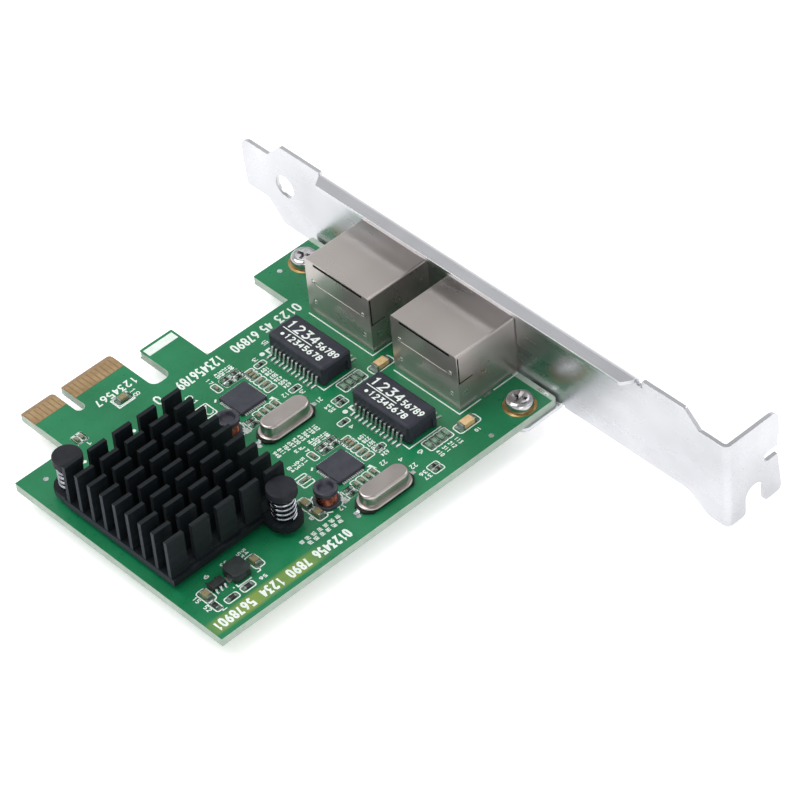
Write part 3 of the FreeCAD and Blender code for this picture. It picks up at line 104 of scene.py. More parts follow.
class Shading:
    """Shader nodes of a material or of the surroundings, added step by step."""

    def __init__(self, owner, output):
        owner.use_nodes = True
        self.tree = owner.node_tree
        self.tree.nodes.clear()
        self.out = self.node(output)

    def node(self, kind, **values):
        made = self.tree.nodes.new(kind)
        for key, value in values.items():
            setattr(made, key, value)
        return made

    def link(self, source, target):
        self.tree.links.new(source, target)

    def spread(self, source, low, high, start=0.3, end=0.7):
        """Maps a factor between start and end onto the range from low to high."""
        made = self.node("ShaderNodeMapRange")
        made.inputs["From Min"].default_value = start
        made.inputs["From Max"].default_value = end
        made.inputs["To Min"].default_value = low
        made.inputs["To Max"].default_value = high
        self.link(source, made.inputs["Value"])
        return made.outputs["Result"]

    def calculate(self, operation, first, second):
        """Arithmetic on an output and a number or another output."""
        made = self.node("ShaderNodeMath", operation=operation)
        self.link(first, made.inputs[0])
        if isinstance(second, float):
            made.inputs[1].default_value = second
        else:
            self.link(second, made.inputs[1])
        return made.outputs["Value"]

    def axis(self, name, source="Object"):
        """One axis of the place, or of the normal, on the object itself."""
        split = self.node("ShaderNodeSeparateXYZ")
        self.link(self.node("ShaderNodeTexCoord").outputs[source], split.inputs["Vector"])
        return split.outputs[name]

    def shown(self):
        """1 for rays from the camera, from gloss and through glass, otherwise 0."""
        path = self.node("ShaderNodeLightPath")
        seen = path.outputs["Is Camera Ray"]
        for name in ("Is Glossy Ray", "Is Transmission Ray"):
            seen = self.calculate("MAXIMUM", seen, path.outputs[name])
        return seen


class Finish(Shading):
    """One material around a principled shader."""

    def __init__(self, name):
        self.material = bpy.data.materials.new(name)
        super().__init__(self.material, "ShaderNodeOutputMaterial")
        self.shader = self.node("ShaderNodeBsdfPrincipled")
        self.link(self.shader.outputs["BSDF"], self.out.inputs["Surface"])
        self.place = self.node("ShaderNodeTexCoord").outputs["Object"]

    def stretched(self, scale):
        mapping = self.node("ShaderNodeMapping")
        mapping.inputs["Scale"].default_value = scale
        self.link(self.place, mapping.inputs["Vector"])
        return mapping.outputs["Vector"]

    def noise(self, size, detail=3.0, vector=None):
        """Noise whose features are about size millimetres wide."""
        made = self.node("ShaderNodeTexNoise")
        made.inputs["Scale"].default_value = 1.0 / (size * MM)
        made.inputs["Detail"].default_value = detail
        made.inputs["Roughness"].default_value = 0.55
        self.link(vector or self.place, made.inputs["Vector"])
        return made.outputs["Fac"]

    def along(self, axis, low, high, start, end):
        """From low to high between two places on an axis, in millimetres."""
        return self.spread(self.axis(axis), low, high, start * MM, end * MM)

    def blend(self, factor, first, second):
        """Mixes two colours or colour outputs."""
        made = self.node("ShaderNodeMix", data_type="RGBA")
        self.link(factor, made.inputs["Factor"])
        for value, socket in ((first, made.inputs["A"]), (second, made.inputs["B"])):
            if isinstance(value, tuple):
                socket.default_value = value
            else:
                self.link(value, socket)
        return made.outputs["Result"]

    def clouds(self, size, dark, light, detail=3.0):
        """Soft changes between two display colours, about size millimetres wide."""
        factor = self.spread(self.noise(size, detail), 0.0, 1.0)
        return self.blend(factor, colour(*dark), colour(*light))

    def bump(self, height, strength, distance=0.02):
        made = self.node("ShaderNodeBump")
        made.inputs["Strength"].default_value = strength
        made.inputs["Distance"].default_value = distance * MM
        self.link(height, made.inputs["Height"])
        self.link(made.outputs["Normal"], self.shader.inputs["Normal"])

    def set(self, **values):
        for key, value in values.items():
            self.shader.inputs[key.replace("_", " ")].default_value = value

    def feed(self, **sources):
        for key, source in sources.items():
            self.link(source, self.shader.inputs[key.replace("_", " ")])


def mottled(name, dark, light, size, rough, specular=0.5, coat=0.0):
    """Plain finish with soft colour changes, uneven gloss and fine grain."""
    m = Finish(name)
    fine = m.noise(0.25, 2.0)
    m.feed(Base_Color=m.clouds(size, dark, light), Roughness=m.spread(fine, *rough))
    m.set(Coat_Weight=coat, Specular_IOR_Level=specular)
    m.bump(fine, 0.15)
    MATERIALS[name] = m.material


def metal(name, dark, light, size, rough, along=(1.0, 1.0, 1.0), grain=0.5, bump=0.03,
          metallic=1.0):
    """Smooth metal with soft clouds, an uneven gloss and a faint grain along one axis."""
    m = Finish(name)
    fine = m.noise(grain, 3.0, m.stretched(along))
    m.feed(Base_Color=m.clouds(size, dark, light, 2.0), Roughness=m.spread(fine, *rough))
    m.set(Metallic=metallic)
    if bump:
        m.bump(fine, bump, 0.01)
    MATERIALS[name] = m.material


# Along each axis: where the pale strip of painted highlight starts, is full, starts to fade and
# ends
HIGHLIGHT_STRIP = {"X": (61.5, 62.4, 64.6, 65.3), "Y": (-21.0, -17.5, 1.0, 7.0)}


def mask_material():
    """Green lacquer with copper below it, with a painted highlight that makes a strip by the right
    edge paler.
    """
    m = Finish("solder_mask")
    weave = m.spread(m.noise(0.45, 1.0), 0.0, 0.08)
    base = m.blend(weave, m.clouds(16.0, (9, 108, 66), (26, 128, 83)), colour(60, 160, 110))
    # The paler strip by the right edge is a painted highlight.
    highlight = m.spread(m.noise(7.0), 0.45, 0.9)
    for axis, (start, full, fading, end) in HIGHLIGHT_STRIP.items():
        highlight = m.calculate("MULTIPLY", highlight, m.along(axis, 0.0, 1.0, start, full))
        highlight = m.calculate("MULTIPLY", highlight, m.along(axis, 1.0, 0.0, fading, end))
    m.feed(Base_Color=m.blend(highlight, base, colour(138, 158, 70)),
           Roughness=m.spread(m.noise(2.0), 0.26, 0.38))
    m.set(Specular_IOR_Level=0.45)
    m.bump(m.noise(1.1, 2.0), 0.10, 0.01)
    return m.material


def laminate_material():
    """Cut glass-fibre laminate: pale layers at the edges, tan where the mask is bare on top."""
    m = Finish("laminate")
    layers = m.node("ShaderNodeTexWave", wave_type="BANDS", bands_direction="Z")
    layers.inputs["Scale"].default_value = 900.0
    layers.inputs["Distortion"].default_value = 1.5
    m.link(m.place, layers.inputs["Vector"])
    lines = m.spread(layers.outputs["Fac"], 0.0, 0.3, 0.0, 1.0)
    edge = m.blend(lines, m.clouds(3.0, (176, 194, 180), (200, 213, 200)), colour(152, 174, 158))
    tongue = m.spread(m.axis("Z", "Normal"), 0.0, 1.0, 0.2, 0.4)
    for axis, start, end in (("X", 5.0, 6.0), ("Y", 20.0, 21.0)):
        tongue = m.calculate("MULTIPLY", tongue, m.along(axis, 1.0, 0.0, start, end))
    m.feed(Base_Color=m.blend(tongue, edge, m.clouds(0.8, (134, 106, 76), (152, 126, 94))),
           Roughness=m.spread(m.noise(0.3), 0.5, 0.7))
    m.bump(layers.outputs["Fac"], 0.1, 0.01)
    return m.material


def sink_material():
    """Black anodised metal: fine saw lines on the sides of the plates, and greyer front cut ends,
    whose paleness is partly a painted sheen.
    """
    m = Finish("black_anodised")
    saw = m.noise(0.22, 3.0, m.stretched((1.0, 0.02, 1.0)))
    # Front ends facing along y get a paler colour: partly bare cut metal, partly a painted sheen of
    # light on them.
    ends = m.calculate("ABSOLUTE", m.axis("Y", "Normal"), 0.0)
    ends = m.calculate("MULTIPLY", m.spread(ends, 0.0, 1.0, 0.6, 1.0),
                       m.along("Y", 1.0, 0.0, -17.5, -17.3))
    sides = m.blend(m.spread(saw, 0.0, 0.4, 0.52, 0.72),
                    m.clouds(0.8, (13, 19, 22), (20, 27, 30)), colour(50, 56, 64))
    m.feed(Base_Color=m.blend(ends, sides, colour(46, 51, 58)),
           Roughness=m.spread(saw, 0.5, 0.68))
    m.set(Specular_IOR_Level=0.2)
    m.bump(saw, 0.3)
    return m.material


def gold_material():
    """Worn contact plating with rub lines along the contacts."""
    m = Finish("gold")
    streak = m.noise(0.12, 3.0, m.stretched((0.06, 1.0, 1.0)))
    m.feed(Base_Color=m.clouds(2.5, (160, 132, 92), (190, 163, 124)),
           Roughness=m.spread(streak, 0.3, 0.5))
    m.set(Metallic=0.8)
    m.bump(streak, 0.12, 0.01)
    return m.material


MATERIALS["mask"] = mask_material()
MATERIALS["board"] = laminate_material()
MATERIALS["gold"] = gold_material()
MATERIALS["black_aluminium"] = sink_material()

# Dark and light tone, size of the clouds in millimetres, range of roughness
metal("bracket_steel", (198, 199, 203), (214, 215, 219), 14.0, (0.26, 0.30),
      along=(0.15, 1.0, 1.0), grain=2.5, bump=0.0)
metal("shield_metal", (172, 166, 162), (200, 193, 189), 24.0, (0.27, 0.30),
      along=(0.3, 1.0, 0.6), grain=3.0, bump=0.0, metallic=0.8)
metal("can_metal", (172, 165, 161), (192, 185, 181), 6.0, (0.3, 0.34),
      along=(1.0, 0.3, 1.0), grain=2.0, bump=0.0)
metal("screw_steel", (176, 175, 176), (202, 201, 201), 2.5, (0.1, 0.2))
metal("spring_steel", (128, 131, 138), (176, 179, 186), 0.8, (0.1, 0.2))
metal("copper", (88, 48, 38), (158, 96, 76), 0.8, (0.14, 0.28), bump=0.06)
metal("ring_gold", (152, 120, 72), (182, 150, 102), 1.5, (0.25, 0.4))
metal("tin", (182, 190, 188), (226, 231, 229), 1.0, (0.2, 0.38), bump=0.08)
metal("dull_tin", (120, 134, 126), (162, 172, 164), 0.6, (0.3, 0.45))
metal("bright_tin", (222, 228, 225), (240, 243, 241), 0.6, (0.3, 0.45), metallic=0.5)
mottled("black_nylon", (26, 28, 34), (37, 39, 46), 1.5, (0.45, 0.6), 0.22)
mottled("chip_black", (28, 33, 33), (42, 47, 46), 1.2, (0.4, 0.6), 0.35)
mottled("chip_grey", (50, 52, 61), (63, 65, 75), 2.0, (0.4, 0.6), 0.35)
mottled("transformer_case", (38, 40, 50), (52, 53, 65), 2.5, (0.4, 0.6), 0.35)
mottled("housing_black", (20, 20, 21), (30, 30, 32), 2.0, (0.4, 0.6), 0.35)
mottled("inductor_case", (32, 39, 39), (46, 53, 52), 1.0, (0.3, 0.5), 0.45)
mottled("ferrite", (47, 47, 57), (64, 63, 75), 0.9, (0.3, 0.48), 0.45)
mottled("insulator", (24, 23, 24), (40, 38, 37), 1.0, (0.4, 0.6), 0.3)
mottled("gap_black", (10, 10, 11), (16, 16, 17), 1.0, (0.6, 0.8), 0.1)
mottled("resistor_black", (26, 27, 29), (44, 44, 46), 0.4, (0.3, 0.5))
mottled("array_grey", (112, 146, 124), (142, 172, 150), 0.5, (0.35, 0.5))
mottled("pad_grey", (140, 142, 146), (165, 166, 170), 1.2, (0.6, 0.8))
mottled("tan_ceramic", (216, 178, 124), (234, 202, 152), 0.8, (0.3, 0.45))
mottled("brown_ceramic", (124, 116, 80), (150, 142, 104), 0.5, (0.3, 0.45))
mottled("lens", (205, 214, 205), (225, 230, 222), 1.0, (0.12, 0.2), coat=0.5)
mottled("ink", (222, 234, 226), (240, 246, 242), 1.0, (0.45, 0.6))

SLOTS = {}
for part in frame["record"]["subparts"]:
    node = NODES[part["node"]]
    SLOTS[part["node"]] = part["material_slot"]
    node.data.materials.clear()
    node.data.materials.append(MATERIALS[part["material_slot"]])
    for face in node.data.polygons:
        face.material_index = 0

# Pieces that stand for nodes, with round and softened forms

SHARP, SOFT_SHARP = 40.0, 35.0


def mesh_from(name, points, faces, material=None, unit=MM):
    mesh = bpy.data.meshes.new(name)
    mesh.from_pydata([Vector(p) * unit for p in points], [], faces)
    if material:
        mesh.materials.append(material)
    return mesh


def show(name, mesh, replaced=None, even=False):
    """Lets a mesh ride the card as a piece, standing for a node where one is named.

    The faces of an even piece keep their own shading up to rounded edges.
    """
    made = bpy.data.objects.new(name, mesh)
    bpy.context.scene.collection.objects.link(made)
    if even:
        made.modifiers.new("normals", "WEIGHTED_NORMAL").keep_sharp = True
    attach(made, "root")
    if replaced:
        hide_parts(replaced)
    return made


def smooth(mesh, limit=SHARP):
    """Smooth shading that keeps edges sharper than limit, in degrees."""
    mesh.polygons.foreach_set("use_smooth", [True] * len(mesh.polygons))
    mesh.set_sharp_from_angle(angle=math.radians(limit))


def softened(name, width, material=None, wide=None, mesh=None):
    """Copy of a node, or of a changed mesh of it, whose sharp edges are rounded by width.

    Edges that wide picks are rounded first, by more.
    """
    shape = bmesh.new()
    shape.from_mesh(mesh or NODES[name].data)
    bmesh.ops.remove_doubles(shape, verts=shape.verts, dist=1e-6)
    bmesh.ops.dissolve_limit(shape, angle_limit=math.radians(0.5), verts=shape.verts,
                             edges=shape.edges)

    def bevel(reach, steps, pick=None):
        sharp = [edge for edge in shape.edges if len(edge.link_faces) == 2
                 and edge.calc_face_angle() > math.radians(SOFT_SHARP)
                 and (pick is None or pick(edge))]
        bmesh.ops.bevel(shape, geom=sharp, offset=reach * MM, offset_type="OFFSET",
                        segments=steps, profile=0.5, affect="EDGES", clamp_overlap=True)
    if wide:
        bevel(width * 2.4, 4, wide)
    bevel(width, 2)
    soft = bpy.data.meshes.new(name + "_soft")
    shape.to_mesh(soft)
    shape.free()
    soft.materials.clear()
    soft.materials.append(material or MATERIALS[SLOTS[name]])
    smooth(soft)
    show(name + "_soft", soft, name, even=True)


VENT_X, VENT_Z, VENT_RADIUS, VENT_SIDES = -2.9, 9.25, 2.385, 48
VENT_CUT = (55.0, 61.0)


def drilled(mesh):
    """Mesh of the bracket with a round hole in its lower tongue."""
    steps = [2 * math.pi * i / VENT_SIDES for i in range(VENT_SIDES)]
    cutter = Body()
    cutter.rings([[(VENT_X + VENT_RADIUS * math.sin(a), y, VENT_Z + VENT_RADIUS * math.cos(a))
                   for a in steps] for y in VENT_CUT])
    return difference(mesh.copy(), mesh_from("drill", cutter.points, cutter.faces))


def difference(first, second):
    """First mesh less the second."""
    holders = []
    for mesh in (first, second):
        holder = bpy.data.objects.new("holder", mesh)
        bpy.context.scene.collection.objects.link(holder)
        holders.append(holder)
    change = holders[0].modifiers.new("cut", "BOOLEAN")
    change.operation = "DIFFERENCE"
    change.solver = "EXACT"
    change.use_self = True
    change.object = holders[1]
    bpy.context.view_layer.update()
    done = holders[0].evaluated_get(bpy.context.evaluated_depsgraph_get())
    mesh = bpy.data.meshes.new_from_object(done)
    for holder in holders:
        bpy.data.objects.remove(holder)
    return mesh


class Body:
    """Collects closed shells, in millimetres, into one piece."""

    def __init__(self):
        self.points, self.faces = [], []

    def rings(self, rings, closed=False):
        """Skin through rings of equal count, with end faces unless the rings close."""
        first, count = len(self.points), len(rings[0])
        for ring in rings:
            self.points += ring
        spans = len(rings) if closed else len(rings) - 1
        for r in range(spans):
            low, high = first + r * count, first + (r + 1) % len(rings) * count
            for i in range(count):
                n = (i + 1) % count
                self.faces.append([low + i, low + n, high + n, high + i])
        if not closed:
            self.faces.append([first + i for i in reversed(range(count))])
            top = first + (len(rings) - 1) * count
            self.faces.append([top + i for i in range(count)])

    def prism(self, outline, low, high):
        """Upright shell over an outline."""
        self.rings([[(x, y, z) for x, y in outline] for z in (low, high)])

    def lathe(self, profile, x, y, sides=40, closed=False, half=0, slit=0.0):
        """Turned form; half is -1 or 1 for the part on one side of a slit across x."""
        rings = []
        for radius, z in profile:
            ring = []
            for i in range(sides):
                a = 2 * math.pi * i / sides
                dx = radius * math.cos(a)
                if half:
                    dx = half * max(half * dx, slit)
                ring.append((x + dx, y + radius * math.sin(a), z))
            rings.append(ring)
        self.rings(rings, closed)

    def piece(self, name, replaced=None, material=None, slot=None, limit=SHARP):
        slot = slot or SLOTS[replaced]
        mesh = mesh_from(name, self.points, self.faces, MATERIALS[material or slot])
        smooth(mesh, limit)
        show(name, mesh, replaced, even=True)


def rectangle(x0, y0, x1, y1):
    return [(x0, y0), (x1, y0), (x1, y1), (x0, y1)]


def turned(points, x, y, c, s):
    """Points turned by the angle of cosine c and sine s, then moved to x, y."""
    return [(x + p * c - q * s, y + p * s + q * c) for p, q in points]


def rounded(radius, z, corner, steps=4):
    """Profile points of an outer corner, from the side up to the top face."""
    made = []
    for i in range(steps + 1):
        a = math.pi / 2 * i / steps
        made.append((radius - corner + corner * math.cos(a), z - corner + corner * math.sin(a)))
    return made


def stadium(x, y, z, width, length, steps=14):
    """Ring with round ends along y."""
    radius, run = width / 2, (length - width) / 2
    ring = []
    for side in (1, -1):
        for i in range(steps + 1):
            a = math.pi * i / steps + (0 if side > 0 else math.pi)
            ring.append((x + radius * math.cos(a), y + side * run + radius * math.sin(a), z))
    return ring


HEAD_LOW, HEAD_TOP, HEAD_RADIUS, HEAD_ROUND, HEAD_EDGE = 9.2, 10.8, 2.7, 0.28, 0.12
SHANK_RADIUS, SLIT, SLIT_TOP = 1.4, 0.25, 0.9
BARB = ((0.9, -2.6), (1.1, -2.35), (1.85, -0.15), (1.8, -0.05))


def push_pins():
    """Round pins whose lower end is slit into two barbs."""
    body = Body()
    for x, y in PINS:
        body.lathe([(SHANK_RADIUS, SLIT_TOP), (SHANK_RADIUS, HEAD_LOW),
                    (HEAD_RADIUS - HEAD_EDGE, HEAD_LOW), (HEAD_RADIUS, HEAD_LOW + HEAD_EDGE)]
                   + rounded(HEAD_RADIUS, HEAD_TOP, HEAD_ROUND), x, y)
        for half in (-1, 1):
            body.lathe([*BARB, (SHANK_RADIUS, BARB[-1][1]), (SHANK_RADIUS, SLIT_TOP)],
                       x, y, 32, half=half, slit=SLIT)
    body.piece("push_pins_round", "push_pins")


WIRE_RADIUS, WIRE_SIDES = 0.26, 10
COIL_RADIUS, COIL_LOW, COIL_HIGH, COIL_TURNS, COIL_STEPS = 2.0, 4.05, 9.2, 5, 28
COIL_FLAT = 0.06


def pin_springs():
    """Coil springs of round wire, laid flat over a small part at each end."""
    body = Body()
    low, high = COIL_LOW + WIRE_RADIUS, COIL_HIGH - WIRE_RADIUS
    count = COIL_TURNS * COIL_STEPS
    for x, y in PINS:
        rings = []
        for i in range(count + 1):
            turn = 2 * math.pi * i / COIL_STEPS
            rise = min(max((i / count - COIL_FLAT) / (1 - 2 * COIL_FLAT), 0.0), 1.0)
            height = low + (high - low) * rise
            ring = []
            for k in range(WIRE_SIDES):
                side = 2 * math.pi * k / WIRE_SIDES
                out = COIL_RADIUS + WIRE_RADIUS * math.cos(side)
                ring.append((x + out * math.cos(turn), y + out * math.sin(turn),
                             height + WIRE_RADIUS * math.sin(side)))
            rings.append(ring)
        body.rings(rings)
    body.piece("pin_springs_round", "pin_springs", limit=60.0)


SCREW_SEAT, SCREW_HEAD, SCREW_RADIUS, SCREW_TIP = 1.62, 1.9, 2.5, -2.2
DOME_ROUND, DOME_DROP, DOME_FLAT = 0.75, 0.12, 1.56
TIP_RADIUS, ROOT_RADIUS, CREST_RADIUS = 0.85, 1.1, 1.23
THREAD_TURNS, THREAD_PITCH, THREAD_START = 8, 0.4, 0.25
RECESS_REACH, RECESS_HALF, RECESS_FLOOR, RECESS_DEEP, RECESS_TURN = 1.55, 0.34, 0.5, 1.1, 0.35
RECESS_ABOVE = 0.2


def bracket_screws():
    """Pan head screws with a cross recess."""
    top = SCREW_SEAT + SCREW_HEAD
    body, cutter = Body(), Body()
    profile = [(TIP_RADIUS, SCREW_TIP)]
    for i in range(THREAD_TURNS):
        z = SCREW_TIP + THREAD_START + i * THREAD_PITCH
        profile += [(CREST_RADIUS, z), (ROOT_RADIUS, z + THREAD_PITCH / 2)]
    profile += [(ROOT_RADIUS, SCREW_SEAT), (SCREW_RADIUS - 0.1, SCREW_SEAT),
                (SCREW_RADIUS, SCREW_SEAT + 0.12)]
    profile += rounded(SCREW_RADIUS, top - DOME_DROP, DOME_ROUND, 6)[:-1] + [(DOME_FLAT, top)]
    c, s = math.cos(RECESS_TURN), math.sin(RECESS_TURN)
    for x, y in SCREWS:
        body.lathe(profile, x, y, 48)
        for across in (False, True):
            rings = []
            for reach, z in ((RECESS_FLOOR, top - RECESS_DEEP),
                             (RECESS_REACH, top + RECESS_ABOVE)):
                ring = rectangle(-reach, -RECESS_HALF, reach, RECESS_HALF)
                if across:
                    ring = [(-q, p) for p, q in ring]
                rings.append([(p, q, z) for p, q in turned(ring, x, y, c, s)])
            cutter.rings(rings)
    carved(body, cutter, "bracket_screws_round", "bracket_screws")


def carved(body, cutter, name, replaced):
    """Body less cutter, as one piece; the cut is made at the scale of millimetres."""
    mesh = difference(*(mesh_from(name, source.points, source.faces, unit=1.0)
                        for source in (body, cutter)))
    mesh.transform(Matrix.Scale(MM, 4))
    mesh.materials.clear()
    mesh.materials.append(MATERIALS[SLOTS[replaced]])
    smooth(mesh, SOFT_SHARP)
    show(name, mesh, replaced, even=True)


CHOKE_RADIUS, CHOKE_CAP_RADIUS, CHOKE_HEIGHT, CHOKE_FOOT, CHOKE_CAP = 2.35, 2.15, 3.6, 0.6, 0.95
CHOKE_DISH = ((1.5, 0.02), (1.38, 0.14), (1.25, 0.6), (1.1, 0.78), (0.3, 0.82))
CHOKE_WAIST, WINDING_RADIUS, WINDING_TURNS, WINDING_STEPS = 1.3, 1.9, 8, 6


def chokes():
    """Bobbin cores with a dished cap, and their wire wound round and round."""
    cores, wires = Body(), Body()
    top = TOP + CHOKE_HEIGHT
    foot = TOP + CHOKE_FOOT
    under = top - CHOKE_CAP
    turn = (under - foot) / WINDING_TURNS
    for x, y in CHOKES:
        profile = [(CHOKE_RADIUS - 0.08, TOP), (CHOKE_RADIUS, TOP + 0.08)]
        profile += rounded(CHOKE_RADIUS, foot, 0.12, 3)
        profile += [(CHOKE_WAIST, foot), (CHOKE_WAIST, under), (CHOKE_CAP_RADIUS - 0.1, under),
                    (CHOKE_CAP_RADIUS, under + 0.1)]
        profile += rounded(CHOKE_CAP_RADIUS, top, 0.3)
        profile += [(radius, top - drop) for radius, drop in CHOKE_DISH]
        cores.lathe(profile, x, y)
        round_wire = [(CHOKE_WAIST, foot)]
        for i in range(WINDING_TURNS):
            middle = foot + (i + 0.5) * turn
            for k in range(WINDING_STEPS + 1):
                a = math.pi * (k / WINDING_STEPS - 0.5)
                round_wire.append((WINDING_RADIUS - turn / 2 * (1 - math.cos(a)),
                                   middle + turn / 2 * math.sin(a) * 0.98))
        round_wire.append((CHOKE_WAIST, under))
        wires.lathe(round_wire, x, y, closed=True)
    cores.piece("choke_cores_round", "choke_cores")
    wires.piece("choke_windings_round", "choke_windings", limit=75.0)


CAN_LOW, CAN_HIGH, CAN_WIDTH, CAN_LENGTH, CAN_ROUND = 2.52, 4.77, 3.8, 10.2, 0.5
FLANGE_WIDTH, FLANGE_LENGTH, FLANGE_LOW = 4.9, 11.3, 2.12
# Widths of the flange's rings over the flange and of the fillet's over the can, and heights
FLANGE_ROLL = ((-0.24, 0.0), (-0.06, 0.05), (0.0, 0.15), (-0.04, 0.26), (-0.24, 0.36),
               (-0.52, 0.40))
CAN_FILLET = ((0.3, 0.40), (0.06, 0.47))
SEAT_HALF_WIDTH, SEAT_HALF_LENGTH, SEAT_CORNER = 2.25, 5.9, 1.2


def crystals():
    """Pressed cans with a rounded top edge, on a rolled flange and a flat seat."""
    cans, bases, seats = Body(), Body(), Body()
    w, h, c = SEAT_HALF_WIDTH, SEAT_HALF_LENGTH, SEAT_CORNER
    seat = [(w, c - h), (w, h - c), (w - c, h), (c - w, h), (-w, h - c), (-w, c - h),
            (c - w, -h), (w - c, -h)]
    for x in CRYSTAL_XS:
        def ring(width, length, more, z):
            return stadium(x, CRYSTAL_Y, z, width + more, length + more)

        cans.rings([ring(CAN_WIDTH, CAN_LENGTH, 0.0, CAN_LOW)]
                   + [ring(CAN_WIDTH, CAN_LENGTH, 2 * r - CAN_WIDTH, z)
                      for r, z in rounded(CAN_WIDTH / 2, CAN_HIGH, CAN_ROUND, 5)])
        bases.rings([ring(FLANGE_WIDTH, FLANGE_LENGTH, more, FLANGE_LOW + up)
                     for more, up in FLANGE_ROLL]
                    + [ring(CAN_WIDTH, CAN_LENGTH, more, FLANGE_LOW + up)
                       for more, up in CAN_FILLET])
        seats.prism(turned(seat, x, CRYSTAL_Y, 1, 0), TOP, FLANGE_LOW)
    cans.piece("crystal_cans_round", "crystal_cans")
    bases.piece("crystal_bases_round", "crystal_bases")
    seats.piece("crystal_seats", "crystal_insulators")


TERMINALS_A_SIDE, TERMINAL_PITCH, TERMINAL_HALF = 12, 0.4, 0.11
TERMINAL_START, TERMINAL_END, TERMINAL_LOW, TERMINAL_HIGH = 2.9, 3.42, 0.01, 0.22


def controller_terminals():
    """Fine rows of terminals on the four sides of each controller."""
    body = Body()
    for x in CONTROLLER_XS:
        for number in range(TERMINALS_A_SIDE):
            along = (number - (TERMINALS_A_SIDE - 1) / 2) * TERMINAL_PITCH
            foot = rectangle(TERMINAL_START, along - TERMINAL_HALF, TERMINAL_END,
                             along + TERMINAL_HALF)
            for c, s in ((1, 0), (0, 1), (-1, 0), (0, -1)):
                body.prism(turned(foot, x, CONTROLLER_Y, c, s), TOP + TERMINAL_LOW,
                           TOP + TERMINAL_HIGH)
    body.piece("controller_terminals_fine", "controller_terminals", "bright_tin")


WING_TOP, WING_REACH, WING_HEAD = 7.55, 3.5, 0.45
GAP_NEAR, GAP_FAR, GAP_REAR, GAP_WIDTH = 0.06, 0.19, 0.2, 0.3
SLOT_START, SLOT_END, SLOT_LOW, SLOT_HIGH, SLOT_REAR = 2.2, 14.7, 13.13, 13.71, 0.05


def shield_gap_shade():
    """Near-black blocks behind the seams of the folded wings and in the slots of the shields:
    painted shade in these gaps.
    """
    body = Body()
    # These blocks stand for the shade inside the gaps, darker than the housing behind them.
    rear = JACK_REAR + GAP_REAR
    for left in JACK_LEFTS:
        for x0, x1 in ((GAP_NEAR, GAP_FAR), (JACK_WIDTH - GAP_FAR, JACK_WIDTH - GAP_NEAR)):
            for y1, z1 in ((rear + GAP_WIDTH, JACK_TOP - WING_HEAD),
                           (JACK_REAR + WING_REACH, WING_TOP + GAP_WIDTH)):
                body.prism(rectangle(left + x0, rear, left + x1, y1), WING_TOP + 0.02, z1 - 0.02)
        body.prism(rectangle(left + SLOT_START, JACK_REAR + SLOT_REAR, left + SLOT_END, rear),
                   SLOT_LOW, SLOT_HIGH)
    body.piece("shield_gap_shade", material="gap_black", slot="shield_metal")


DIMPLE_INSET, DIMPLE_ZS, DIMPLE_SIDES = 1.9, (9.4, 4.7), 16
DIMPLE = ((0.4, 0.15), (0.36, 0.06), (0.26, -0.01), (0.1, -0.05))
LUG_Y, LUG_Z, LUG_STRETCH = 45.5, 4.9, 1.15
LUG = ((0.42, -0.14), (0.36, -0.04), (0.2, 0.0))


def shield_dimples():
    """Small pressed lugs in the dimples of the shields, in a paler tin than the shield: partly a
    painted highlight.
    """
    body = Body()
    steps = [2 * math.pi * i / DIMPLE_SIDES for i in range(DIMPLE_SIDES)]
    for left in JACK_LEFTS:
        for x in (left + DIMPLE_INSET, left + JACK_WIDTH - DIMPLE_INSET):
            for z in DIMPLE_ZS:
                body.rings([[(x + r * math.cos(a), JACK_REAR + out, z + r * math.sin(a))
                             for a in steps] for r, out in DIMPLE])
        body.rings([[(left + JACK_WIDTH + out, LUG_Y + p, LUG_Z + q * LUG_STRETCH)
                     for p, q in rectangle(-r, -r, r, r)] for r, out in LUG])
    # The paler tin stands in part for the highlight on the lugs.
    body.piece("shield_dimples", material="tin", slot="shield_metal")


RING = ((1.5, 0.005), (3.0, 0.005), (3.05, 0.02), (3.0, 0.05), (1.5, 0.05))


def screw_rings():
    body = Body()
    for x, y in SCREWS:
        body.lathe([(radius, TOP + up) for radius, up in RING], x, y, 48, closed=True)
    body.piece("screw_rings_round", "screw_pads", "ring_gold")


push_pins()
pin_springs()
bracket_screws()
chokes()
crystals()
controller_terminals()
shield_gap_shade()
shield_dimples()
screw_rings()


def rear_top(edge):
    """Picks the long edge between the top and the rear of a jack."""
    a, b = (end.co / MM for end in edge.verts)
    return all(abs(p.y - JACK_REAR) < 0.01 and abs(p.z - JACK_TOP) < 0.01 for p in (a, b))


for name in ("jack_1_shield", "jack_2_shield"):
    softened(name, 0.09, wide=rear_top)
for name in ("small_capacitor_ends", "resistor_ends", "port_resistor_ends",
             "large_capacitor_ends"):
    softened(name, 0.03, MATERIALS["dull_tin"])
softened("bracket", 0.10, mesh=drilled(NODES["bracket"].data))
for name, width in (
    ("heat_sink", 0.05), ("transformer_1", 0.12), ("transformer_2", 0.12),
    ("controller_1", 0.04), ("controller_2", 0.04), ("power_inductor", 0.12),
    ("regulator", 0.05), ("large_capacitors", 0.06), ("small_capacitors", 0.03),
    ("resistors", 0.02), ("port_resistors", 0.02), ("transformer_leads", 0.03),
    ("regulator_leads", 0.02),
):
    softened(name, width)


# Flat marks and pads

